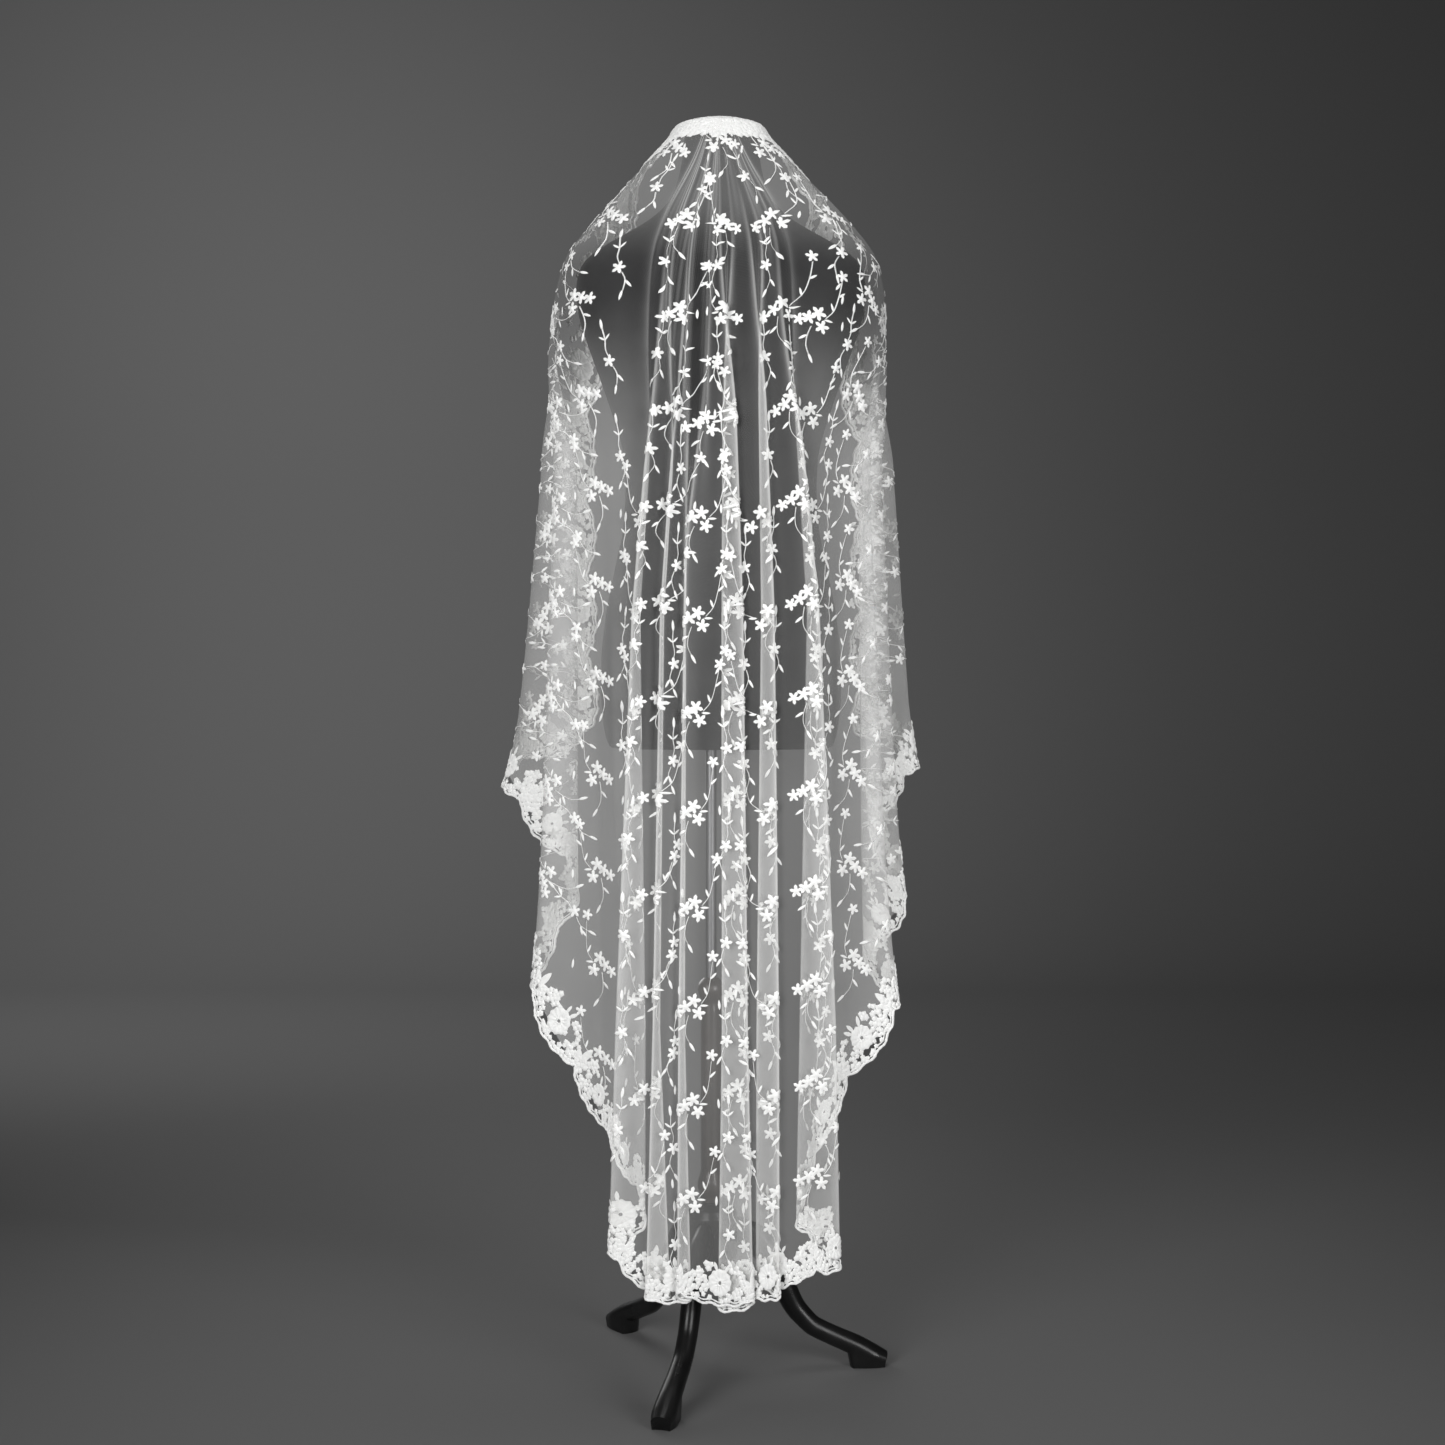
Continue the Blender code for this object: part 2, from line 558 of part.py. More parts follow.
def wall_mesh(name, middle, normals, wall, material, relief=None, holes=()):
    """A closed wall round a grid of points. holes maps a cell to the share of it that is cut out."""
    rows, columns = middle.shape[:2]
    raised = np.zeros((rows, columns)) if relief is None else relief
    outer = middle + normals * (wall / 2.0 + raised)[..., None]
    inner = middle - normals * wall / 2.0
    count = rows * columns
    vertices = list(outer.reshape(-1, 3)) + list(inner.reshape(-1, 3))
    faces = []
    for r in range(rows - 1):
        for c in range(columns - 1):
            a = r * columns + c
            ring = (a, a + columns, a + columns + 1, a + 1)
            if (r, c) in holes:
                faces += cut_cell(vertices, ring, count, *holes[(r, c)])
                continue
            falling = np.linalg.norm(middle[r + 1, c + 1] - middle[r, c])
            rising = np.linalg.norm(middle[r + 1, c] - middle[r, c + 1])
            turned = ring if falling < rising else ring[1:] + ring[:1]
            for corners in ((turned[0], turned[1], turned[2]), (turned[0], turned[2], turned[3])):
                faces.append(corners)
                faces.append(tuple(count + corner for corner in reversed(corners)))
    rim = [c for c in range(columns)]
    rim += [r * columns + columns - 1 for r in range(1, rows)]
    rim += [(rows - 1) * columns + c for c in range(columns - 2, -1, -1)]
    rim += [r * columns for r in range(rows - 2, 0, -1)]
    for first, second in zip(rim, rim[1:] + rim[:1]):
        faces.append((first, second, count + second, count + first))
    return add_object(name, vertices, faces, material)


def cut_cell(vertices, ring, count, across, down):
    """The faces of a cell with a four-sided hole through it; its new corners join the vertices."""
    low_across, high_across = 0.5 - across / 2.0, 0.5 + across / 2.0
    low_down, high_down = 0.5 - down / 2.0, 0.5 + down / 2.0
    places = ((low_across, 0.5), (0.5, high_down), (high_across, 0.5), (0.5, low_down))
    made = []
    for shift in (0, count):
        corners = [vertices[shift + corner] for corner in ring]
        made.append(len(vertices))
        vertices.extend(in_cell(corners, *place) for place in places)
    faces = []
    for i in range(4):
        j = (i + 1) % 4
        outer = (ring[i], ring[j], made[0] + i)
        fill = (ring[j], made[0] + j, made[0] + i)
        faces += [outer, fill]
        faces.append((count + ring[j], count + ring[i], made[1] + i))
        faces.append((made[1] + j, count + ring[j], made[1] + i))
        faces.append((made[0] + i, made[0] + j, made[1] + j, made[1] + i))
    return faces


def add_object(name, vertices, faces, material):
    """A mesh object from points and faces, smooth but for its sharp edges."""
    mesh = bpy.data.meshes.new(name)
    mesh.from_pydata([tuple(map(float, point)) for point in vertices], [], faces)
    mesh.validate()
    mesh.materials.append(material)
    mesh.shade_smooth()
    mesh.set_sharp_from_angle(angle=SHARP_ANGLE)
    thing = bpy.data.objects.new(name, mesh)
    bpy.context.scene.collection.objects.link(thing)
    return thing


def make_material(name):
    """A Principled material of one colour, named after its finish."""
    finish = FINISHES[name]
    material = bpy.data.materials.new(name)
    material.use_nodes = True
    shader = material.node_tree.nodes["Principled BSDF"]
    shader.inputs["Base Color"].default_value = (*finish.colour, 1.0)
    shader.inputs["Roughness"].default_value = finish.roughness
    shader.inputs["Metallic"].default_value = finish.metallic
    material.diffuse_color = (*finish.colour, 1.0)
    return material


def edged_wall(name, middle, normals, sides, wall, material, relief=None, holes=(), edge=None):
    """A wall over a grid of points, its seam edges drawn in and its last row moved out by edge."""
    middle = pulled_in(middle, normals, sides)
    if edge is not None:
        middle[-1] += unit(middle[-1] - middle[-2]) * edge[:, None]
    return wall_mesh(name, middle, normals, wall, material, relief, holes)


def grid_wall(drape, name, u, v, sides, wall, material, relief=None, holes=(), edge=None):
    """A wall over a grid of u and v values of the drape."""
    return edged_wall(name, drape.point(u, v), drape.normal(u, v), sides, wall, material,
                      relief, holes, edge)


def scallops(run):
    """How far the lace's free edge stands out at each length along it."""
    return SCALLOP_DEPTH * (np.abs(np.sin(math.pi * run / SCALLOP_LENGTH)) - SCALLOP_MIDDLE)


def lace_holes(run, bands):
    """The cells to cut, and the share of each: the outer row in a scallop's middle, else the inner."""
    holes = {}
    for column in range(1, len(run) - 2):
        length = run[column + 1] - run[column]
        if length < HOLE_LEAST:
            continue
        phase = (run[column] + run[column + 1]) / 2.0 / SCALLOP_LENGTH % 1.0
        row = 1 if HOLE_OUTER_FROM < phase < 1.0 - HOLE_OUTER_FROM else 0
        wide = min(HOLE_MOST / length, HOLE_CELL_SHARE)
        tall = min(HOLE_MOST / bands[row], HOLE_CELL_SHARE)
        holes[(row, column)] = (wide, tall)
    return holes


def edge_run(points):
    """The length along a line of points, from its first."""
    return np.concatenate([[0.0], np.cumsum(np.linalg.norm(np.diff(points, axis=0), axis=-1))])


def edge_rows(drape, from_right):
    """The v of every row of the tulle and of the hem's lace where they meet a front edge's lace."""
    tent = [seam_v(drape, from_right, lambda u: tent_v(drape, u, row)) for row in range(TENT_ROWS)]
    top = tent[-1]
    hem = seam_v(drape, from_right, drape.lace_v)
    drop = [top + (hem - top) * share for share in DROP_SHARES[1:]]
    lace = [hem + (1.0 - hem) * share for share in LACE_SHARES[1:]]
    return np.array(tent + drop + lace)


def seam_v(drape, from_right, row):
    """The v at which a row meets a front edge's lace, found by stepping towards it."""
    u = 1.0 - SEAM_FIRST_U if from_right else SEAM_FIRST_U
    for _ in range(SEAM_ROUNDS):
        v = float(row(np.array(u)))
        u = lace_corner(drape, v, from_right)
    return v


def make_front_lace(drape, from_right, material):
    """The lace down one front edge, from beside the crown to the hem's corner."""
    name = "lace_front_right" if from_right else "lace_front_left"
    seam = edge_rows(drape, from_right)
    v, places = [seam[0]], [0.0]
    for number, (high, low) in enumerate(zip(seam[:-1], seam[1:])):
        u = drape.front_lace_u(np.array([high, low]), from_right)
        ends = drape.point(u, np.array([high, low]))
        cells = max(1, round(float(np.linalg.norm(ends[1] - ends[0])) / FRONT_LACE_STEP))
        steps = np.arange(1, cells + 1) / cells
        v.extend(high + (low - high) * steps)
        places.extend(number + steps)
    v, places = np.array(v), np.array(places)
    seam_u = drape.front_lace_u(seam, from_right)
    u = np.array([drape.front_lace_u(v, from_right, share) for share in LACE_SHARES])
    v_grid = np.broadcast_to(v, u.shape)
    middle, normals = drape.point(u, v_grid), drape.normal(u, v_grid)
    middle[0] = along_rows(drape.point(seam_u, seam), places)
    normals[0] = along_rows(drape.normal(seam_u, seam), places)
    run = edge_run(middle[-1])
    relief = lace_relief(run)
    holes = lace_holes(run, LACE_BANDS)
    edge = scallops(run)
    if from_right:
        middle, normals, relief, edge = (grid[..., ::-1, :] if grid.ndim == 3 else grid[..., ::-1]
                                         for grid in (middle, normals, relief, edge))
        holes = {(row, len(run) - 2 - column): size for (row, column), size in holes.items()}
    return edged_wall(name, middle, normals, ("top", "left", "right"), LACE_WALL, material,
                      relief, holes, edge)


def along_rows(values, places):
    """Values read between the rows of a table, at places counted in rows."""
    low = np.minimum(np.floor(places).astype(int), len(values) - 2)
    share = (places - low)[:, None]
    return values[low] * (1.0 - share) + values[low + 1] * share


def lace_relief(run):
    """How far the lace's thick motifs stand out of its face: a rosette in each scallop."""
    along = 0.5 - 0.5 * np.cos(2.0 * math.pi * run / SCALLOP_LENGTH)
    across = np.sin(math.pi * np.array(LACE_SHARES))[:, None]
    return LACE_RELIEF * along[None, :] * across


def make_crown_lace(drape, material):
    """The lace that stands over the top of the neck, between the two front edges' lace."""
    ends = [lace_corner(drape, CROWN_LACE_FOOT, from_right) for from_right in (False, True)]
    low, high = drape.blended(drape.angle, np.array(ends))
    along = np.linspace(0.0, 1.0, CROWN_LACE_COLUMNS + 1)
    corner = CROWN_CORNER_SHARE
    round_edge = np.clip((along - corner) / (1.0 - 2.0 * corner), 0.0, 1.0)
    rise = np.clip(np.minimum(along, 1.0 - along) / corner, 0.0, 1.0)
    inner_u = drape.u_at_angle(low + (high - low) * along)
    outer_u = drape.u_at_angle(FRONT_EDGE_ANGLE * (2.0 * round_edge - 1.0))
    outer_v = CROWN_LACE_FOOT * (1.0 - rise)
    angles = drape.blended(drape.angle, inner_u), drape.blended(drape.angle, outer_u)
    shares = np.array(LACE_SHARES)[:, None]
    u = drape.u_at_angle(angles[0] * (1.0 - shares) + angles[1] * shares)
    v = CROWN_LACE_FOOT * (1.0 - shares) + outer_v * shares
    foot = np.array([CROWN_LACE_FOOT])
    for side, from_right in ((0, False), (-1, True)):
        u[:, side] = [drape.front_lace_u(foot, from_right, share)[0] for share in LACE_SHARES]
    u, v = u[:, ::-1], v[:, ::-1]
    return grid_wall(drape, "lace_crown", u, v, ("top", "left", "right"), LACE_WALL, material)


def lace_corner(drape, v, from_right):
    """Where a front edge's lace meets the tulle at v."""
    return float(drape.front_lace_u(np.array([v]), from_right)[0])


def tent_v(drape, u, row):
    """The v of a row of the shoulder stretch: beside the crown's lace, at the rim, then further down."""
    if row == 0:
        return np.full_like(u, CROWN_LACE_FOOT)
    share = TENT_SHARES[row - 1]
    return CROWN_SHARE + (drape.v_at_height(u, SHOULDER_SPLIT) - CROWN_SHARE) * share


def make_shoulders(drape, material):
    """The tulle from the crown's lace down to the shoulder line."""
    shares = np.linspace(0.0, 1.0, TENT_COLUMNS + 1)
    left, right = edge_rows(drape, False), edge_rows(drape, True)
    u_rows, v_rows = [], []
    for row in range(TENT_ROWS):
        low = lace_corner(drape, left[row], False)
        high = lace_corner(drape, right[row], True)
        ends = drape.blended(drape.angle, np.array([low, high]))
        u = drape.u_at_angle(ends[0] + (ends[1] - ends[0]) * shares)
        v = tent_v(drape, u, row)
        u[0], u[-1] = low, high
        v[0], v[-1] = left[row], right[row]
        u_rows.append(u)
        v_rows.append(v)
    return grid_wall(drape, "tulle_shoulders", np.array(u_rows), np.array(v_rows),
                     ("top", "bottom", "left", "right"), TULLE_WALL, material)


def stretch_columns(measure, first, last):
    """The u values that divide a stretch, as many as its folds need."""
    ends = np.interp([first, last], *measure)
    places = np.linspace(ends[0], ends[1], math.ceil(ends[1] - ends[0]) + 1)
    return np.interp(places, measure[1], measure[0])


def stretch_grid(drape, measure, bounds, first_row, shares, row_v):
    """The grid of u and v of a stretch. Where a bound is None it follows a front edge's lace."""
    corners = [lace_corner(drape, 1.0, False), lace_corner(drape, 1.0, True)]
    first, last = (corner if bound is None else bound for bound, corner in zip(bounds, corners))
    columns = stretch_columns(measure, first, last)
    u = np.tile(columns, (len(shares), 1))
    seams = []
    for side, from_right in ((0, False), (-1, True)):
        if bounds[side] is None:
            seam = edge_rows(drape, from_right)[first_row:first_row + len(shares)]
            seam_u = drape.front_lace_u(seam, from_right)
            nearness = np.abs(columns - columns[-1 - side]) / (last - first)
            u += (seam_u - columns[side])[:, None] * nearness[None, :] ** SEAM_FOLLOW
            seams.append((side, seam, seam_u))
    shares = np.array(shares)[:, None]
    v = row_v[0](u) * (1.0 - shares) + row_v[1](u) * shares
    for side, seam, seam_u in seams:
        v[:, side], u[:, side] = seam, seam_u
    return u, v


def make_tulle_stretch(drape, name, measure, bounds, material):
    """One stretch of the tulle that hangs below the shoulder line, down to the hem's lace."""
    rows = (lambda u: drape.v_at_height(u, SHOULDER_SPLIT), drape.lace_v)
    u, v = stretch_grid(drape, measure, bounds, TENT_ROWS - 1, DROP_SHARES, rows)
    return grid_wall(drape, name, u, v, ("top", "bottom", "left", "right"), TULLE_WALL, material)


def make_hem_lace(drape, name, measure, bounds, hem_run, material):
    """One stretch of the hem's lace."""
    first_row = TENT_ROWS + len(DROP_SHARES) - 2
    u, v = stretch_grid(drape, measure, bounds, first_row, LACE_SHARES, (drape.lace_v, np.ones_like))
    run = np.interp(u[-1], *hem_run)
    return grid_wall(drape, name, u, v, ("top", "left", "right"), LACE_WALL, material,
                     lace_relief(run), lace_holes(run, LACE_BANDS), scallops(run))


def loft(name, rings, material):
    """A closed solid through rings of points, with flat ends."""
    count = len(rings[0])
    vertices = [point for ring in rings for point in ring]
    faces = [tuple(range(count))[::-1], tuple((len(rings) - 1) * count + i for i in range(count))]
    for number in range(len(rings) - 1):
        for i in range(count):
            a, b = number * count + i, number * count + (i + 1) % count
            faces.append((a, b, b + count, a + count))
    return add_object(name, vertices, faces, material)


def form_ring(section):
    """A section of the dress form, a soft oval."""
    ring = []
    for number in range(FORM_SEGMENTS):
        turn = 2.0 * math.pi * number / FORM_SEGMENTS
        sine, cosine = math.sin(turn), math.cos(turn)
        swell = (abs(sine) ** FORM_POWER + abs(cosine) ** FORM_POWER) ** (-1.0 / FORM_POWER)
        ring.append((FORM_CENTRE_X + section.half_width * cosine * swell,
                     section.forward + section.half_depth * sine * swell, section.height))
    return ring


def turned_solid(name, profile, centre_x, material):
    """A solid turned round an upright axis, its profile read from the top down."""
    rings = []
    for place in reversed(profile):
        turns = [2.0 * math.pi * number / TURNED_SEGMENTS for number in range(TURNED_SEGMENTS)]
        rings.append([(centre_x + place.radius * math.cos(turn), place.radius * math.sin(turn), place.height)
                      for turn in turns])
    return loft(name, rings, material)


def make_leg(name, angle, material):
    """A curved leg with a flat-bottomed toe."""
    turn = math.radians(angle)
    out = np.array([math.cos(turn), math.sin(turn), 0.0])
    side = np.array([-math.sin(turn), math.cos(turn), 0.0])
    up = np.array([0.0, 0.0, 1.0])
    centres = [out * row.out + up * row.height for row in LEG_SECTIONS]
    rings = []
    for number, row in enumerate(LEG_SECTIONS):
        before, after = centres[max(number - 1, 0)], centres[min(number + 1, len(centres) - 1)]
        heading = (after - before) / np.linalg.norm(after - before)
        heading = out if number == 0 else heading
        lift = np.cross(heading, side)
        ring = []
        for step in range(LEG_SEGMENTS):
            around = 2.0 * math.pi * (step + 0.5) / LEG_SEGMENTS
            point = (centres[number] + side * row.half_width * math.cos(around)
                     + lift * row.half_height * math.sin(around))
            if row.out > FOOT_FROM:
                point[2] = max(point[2], 0.0) if math.sin(around) > SOLE_BELOW else 0.0
            ring.append(point)
        rings.append(ring)
    return loft(name, rings, material)


def make_veil(tulle, lace):
    """The veil: its tulle in four stretches and its lace in six."""
    drape = Drape()
    measure = column_measure(drape)
    fine = np.linspace(0.0, 1.0, HEM_SAMPLES)
    hem_run = (fine, edge_run(drape.point(fine, np.ones_like(fine))))
    make_shoulders(drape, tulle)
    make_crown_lace(drape, lace)
    for from_right in (False, True):
        make_front_lace(drape, from_right, lace)
    left = drape.line_u(LEFT_SPLIT_LINE)
    right = drape.line_u(RIGHT_SPLIT_LINE)
    for part, low, high in (("left", None, left), ("back", left, right), ("right", right, None)):
        make_tulle_stretch(drape, f"tulle_{part}", measure, (low, high), tulle)
        make_hem_lace(drape, f"lace_hem_{part}", measure, (low, high), hem_run, lace)


def make_form(jersey, cap):
    """The dress form and its neck cap."""
    loft("form_torso", [form_ring(section) for section in reversed(FORM_SECTIONS)], jersey)
    foot = FORM_SECTIONS[0].height + PIECE_GAP
    profile = (
        Turned(foot + NECK_CAP_THICKNESS, NECK_CAP_RADIUS - NECK_CAP_BEVEL),
        Turned(foot + NECK_CAP_THICKNESS - NECK_CAP_BEVEL, NECK_CAP_RADIUS),
        Turned(foot, NECK_CAP_RADIUS),
    )
    turned_solid("form_neck_cap", profile, FORM_CENTRE_X, cap)


def make_stand(metal, wood, gloss):
    """The stand's rod, column, hub and legs."""
    turned_solid("stand_rod", (Turned(ROD_TOP, ROD_RADIUS), Turned(ROD_FOOT, ROD_RADIUS)), 0.0, metal)
    turned_solid("stand_column", COLUMN_PROFILE, 0.0, wood)
    turned_solid("stand_hub", HUB_PROFILE, 0.0, gloss)
    for name, angle in LEG_ANGLES.items():
        make_leg(name, angle, gloss)


def put_origin_on_floor():
    """Moves everything so that the origin is on the floor, under the middle of the whole part."""
    things = [thing for thing in bpy.data.objects if thing.type == "MESH"]
    points = np.array([vertex.co for thing in things for vertex in thing.data.vertices])
    low, high = points.min(axis=0), points.max(axis=0)
    centre = Vector(((low[0] + high[0]) / 2.0, (low[1] + high[1]) / 2.0, low[2]))
    for thing in things:
        thing.data.transform(Matrix.Translation(-centre))


def main():
    """Builds the form, the stand and the veil, and puts the origin on the floor at its centre."""
    clear_scene()
    made = {name: make_material(name) for name in FINISHES}
    make_form(made["black_jersey"], made["black_cap"])
    make_stand(made["grey_metal"], made["dark_wood"], made["black_gloss"])
    make_veil(made["white_tulle"], made["white_lace"])
    put_origin_on_floor()


if __name__ == "__main__":
    main()
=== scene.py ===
"""Looks of the chapel veil on its dress form: cloth, lace, embroidery, finishes, stage and camera.

Metres, +Z up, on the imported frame. The veil's long back faces -Y and the form's front faces +Y.
"""

import json
import logging
import math
from collections.abc import Iterable, Sequence
from dataclasses import dataclass, field
from enum import Enum
from functools import cached_property

import bpy
import numpy as np
from bpy.types import Material, Mesh, Node, NodeSocket, NodeTree, Object
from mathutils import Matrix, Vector

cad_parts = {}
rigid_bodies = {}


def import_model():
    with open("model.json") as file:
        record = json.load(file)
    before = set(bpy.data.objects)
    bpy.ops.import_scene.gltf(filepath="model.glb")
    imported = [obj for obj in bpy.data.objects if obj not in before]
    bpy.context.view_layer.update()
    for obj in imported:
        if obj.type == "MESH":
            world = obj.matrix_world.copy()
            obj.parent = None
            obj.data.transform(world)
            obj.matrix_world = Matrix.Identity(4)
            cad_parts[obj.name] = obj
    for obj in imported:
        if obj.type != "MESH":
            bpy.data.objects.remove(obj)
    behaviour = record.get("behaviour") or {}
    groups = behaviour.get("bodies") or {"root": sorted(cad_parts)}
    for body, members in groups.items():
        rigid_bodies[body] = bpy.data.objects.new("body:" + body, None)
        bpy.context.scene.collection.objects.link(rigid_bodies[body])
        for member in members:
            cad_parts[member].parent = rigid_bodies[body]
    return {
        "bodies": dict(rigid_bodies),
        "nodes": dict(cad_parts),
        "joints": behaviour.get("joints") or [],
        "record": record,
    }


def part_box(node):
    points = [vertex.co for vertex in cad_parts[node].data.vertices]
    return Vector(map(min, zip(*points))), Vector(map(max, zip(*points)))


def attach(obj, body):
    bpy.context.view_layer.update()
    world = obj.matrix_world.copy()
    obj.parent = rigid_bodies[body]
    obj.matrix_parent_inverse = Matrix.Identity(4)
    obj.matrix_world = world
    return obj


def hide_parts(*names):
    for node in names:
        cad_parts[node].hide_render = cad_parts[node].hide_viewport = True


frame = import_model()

LOG = logging.getLogger("veil")
ALL_WAYS = 6.28
Array = np.ndarray
BODY = "root"


# ---------------------------------------------------------------- the sizes that the drape follows


@dataclass(frozen=True)
class Ring:
    """The ring round the form that the cloth follows before it folds, at one height."""

    height: float
    centre_x: float
    half_width: float
    back: float
    front: float


@dataclass(frozen=True)
class Pleat:
    """A knife pleat of the back: where its cloth is gathered, its start, depth, turn and places."""

    gathered: float
    start: float
    depth: float
    turn: int
    middles: tuple[float, ...]
    widths: tuple[float, ...]
    hem_first: float
    hem_last: float


@dataclass(frozen=True)
class SideLine:
    """A fold line of a side cascade: its angle on the ring, where it hangs, and its hem."""

    angle: float
    x_high: float
    x_low: float
    y: float
    hem: float


@dataclass(frozen=True)
class Crease:
    """A soft ridge of the cloth, or a trough where its depth is negative.

    It runs from control line line_top at height top to line_foot at height foot.
    """

    line_top: float
    line_foot: float
    top: float
    foot: float
    width: float
    depth: float


RINGS = tuple(Ring(*row) for row in (
    (1.560, 0.0105, 0.050, 0.052, 0.020),
    (1.546, 0.0105, 0.053, 0.055, 0.030),
    (1.493, 0.0115, 0.099, 0.074, 0.082),
    (1.436, 0.0120, 0.153, 0.092, 0.118),
    (1.390, 0.0118, 0.192, 0.104, 0.130),
    (1.355, 0.0110, 0.202, 0.112, 0.134),
    (1.250, 0.0090, 0.216, 0.128, 0.140),
    (1.000, 0.0060, 0.236, 0.135, 0.140),
    (0.750, 0.0050, 0.232, 0.138, 0.140),
    (0.450, 0.0050, 0.205, 0.140, 0.140),
    (0.100, 0.0050, 0.200, 0.144, 0.140),
))
LEFT_TURN, RIGHT_TURN = -1, 1
TRACK_HEIGHTS = (1.30, 0.945, 0.45, 0.12)
PLEATS = (
    Pleat(-0.068, 1.345, 0.0125, LEFT_TURN,
          (-0.062, -0.088, -0.095, -0.100), (0.002, 0.010, 0.036, 0.046), 0.235, 0.152),
    Pleat(-0.040, 1.340, 0.0105, LEFT_TURN,
          (-0.034, -0.057, -0.064, -0.062), (0.002, 0.005, 0.009, 0.030), 0.120, 0.118),
    Pleat(-0.014, 1.230, 0.0095, LEFT_TURN,
          (-0.026, -0.030, -0.034, -0.031), (0.001, 0.003, 0.008, 0.017), 0.122, 0.124),
    Pleat(0.018, 1.420, 0.0120, RIGHT_TURN,
          (0.021, 0.026, 0.029, 0.030), (0.012, 0.026, 0.031, 0.042), 0.114, 0.114),
    Pleat(0.056, 1.430, 0.0115, RIGHT_TURN,
          (0.059, 0.068, 0.068, 0.068), (0.007, 0.016, 0.027, 0.028), 0.128, 0.130),
    Pleat(0.092, 1.370, 0.0125, RIGHT_TURN,
          (0.094, 0.122, 0.128, 0.128), (0.002, 0.015, 0.044, 0.056), 0.142, 0.215),
)
LEFT_LINES = tuple(SideLine(*row) for row in (
    (-138.0, -0.150, -0.145, 0.100, 0.785),
    (-126.0, -0.185, -0.205, 0.112, 0.768),
    (-117.0, -0.219, -0.270, 0.078, 0.738),
    (-109.0, -0.219, -0.270, 0.048, 0.727),
    (-100.0, -0.166, -0.163, 0.026, 0.600),
    (-92.0, -0.166, -0.163, 0.000, 0.580),
    (-84.0, -0.195, -0.227, -0.020, 0.478),
    (-76.0, -0.195, -0.227, -0.044, 0.466),
    (-65.0, -0.152, -0.142, -0.064, 0.330),
    (-50.0, -0.125, -0.120, -0.082, 0.290),
    (-36.0, -0.102, -0.100, -0.096, 0.255),
))
RIGHT_LINES = tuple(SideLine(*row) for row in (
    (36.0, 0.124, 0.118, -0.096, 0.250),
    (49.0, 0.142, 0.138, -0.080, 0.300),
    (61.0, 0.160, 0.166, -0.064, 0.365),
    (70.0, 0.196, 0.236, -0.050, 0.448),
    (76.0, 0.196, 0.236, -0.032, 0.458),
    (83.0, 0.182, 0.188, -0.018, 0.505),
    (88.0, 0.182, 0.188, -0.004, 0.520),
    (95.0, 0.216, 0.251, 0.010, 0.562),
    (100.0, 0.216, 0.251, 0.026, 0.575),
    (106.0, 0.190, 0.198, 0.038, 0.650),
    (111.0, 0.190, 0.198, 0.054, 0.668),
    (117.0, 0.236, 0.270, 0.066, 0.745),
    (123.0, 0.236, 0.270, 0.088, 0.757),
    (130.0, 0.208, 0.228, 0.114, 0.778),
    (138.0, 0.180, 0.178, 0.102, 0.790),
))
# Ridges over the shoulders, in the single layers of the back and down the side panels
CREASES = tuple(Crease(*row) for row in (
    (5.0, 3.5, 1.530, 1.330, 1.3, 0.0026),
    (8.4, 7.4, 1.535, 1.300, 1.1, 0.0022),
    (14.0, 9.5, 1.535, 1.290, 1.6, 0.0018),
    (24.0, 17.0, 1.520, 1.100, 1.2, 0.0016),
    (30.0, 31.0, 1.530, 1.050, 1.0, 0.0015),
    (44.0, 45.4, 1.525, 1.120, 1.0, 0.0018),
    (50.0, 53.0, 1.530, 1.280, 1.4, 0.0020),
    (56.0, 57.0, 1.530, 1.300, 1.2, 0.0024),
    (61.0, 62.5, 1.525, 1.320, 1.4, 0.0026),
    (9.3, 9.6, 1.150, 0.500, 0.35, 0.0022),
    (8.2, 8.5, 0.950, 0.420, 0.30, -0.0018),
    (17.0, 16.9, 1.000, 0.300, 0.35, 0.0016),
    (24.0, 24.1, 0.820, 0.180, 0.30, 0.0014),
    (30.8, 31.2, 0.900, 0.160, 0.30, 0.0018),
    (31.4, 30.9, 0.620, 0.200, 0.22, 0.0014),
    (38.0, 38.0, 0.800, 0.200, 0.35, 0.0015),
    (45.0, 45.1, 0.950, 0.220, 0.35, 0.0016),
    (53.4, 53.0, 1.120, 0.480, 0.35, 0.0020),
    (2.2, 2.6, 1.200, 0.820, 0.45, 0.0022),
    (64.0, 63.6, 1.180, 0.840, 0.45, 0.0022),
))


@dataclass(frozen=True)
class DrapeSizes:
    """Heights, shares and steps that the drape is worked out from."""

    rim: float = 1.546
    crown_rise: float = 0.015
    crown_lift: float = 0.003
    crown_bulge: float = 0.004
    crown_half_width: float = 0.050
    crown_forward: float = 0.030
    crown_side_forward: float = 0.010
    crown_share: float = 0.07
    ring_power: float = 2.5
    ring_widest: float = 0.97
    rim_turn: float = 0.70
    rim_turn_drop: float = 0.13
    section_ease: float = 0.014
    front_angle: float = 138.0
    fold_start: float = 1.34
    fold_full: float = 1.12
    layers: tuple[float, ...] = (1.0, 0.6, 0.2, -0.2, -0.6, -1.0)
    pleat_reach: float = 0.25
    pleat_lead: float = 0.05
    pleat_growth: float = 0.25
    top_spacing: float = 0.004
    gap_rise: float = 0.012
    gap_start: float = 1.40
    gap_full: float = 1.15
    gap_valley: float = 0.25
    steady: float = 0.70
    flare: int = 6
    below_hem: float = 1.06
    least_reach: float = 0.01


DRAPE = DrapeSizes()


def soft_step(share: Array) -> Array:
    """A smooth rise from 0 to 1 as share goes from 0 to 1."""
    share = np.clip(share, 0.0, 1.0)
    return share * share * (3.0 - 2.0 * share)


def unit(vectors: Array) -> Array:
    """Vectors of length one."""
    return vectors / np.maximum(np.linalg.norm(vectors, axis=-1, keepdims=True), 1e-9)


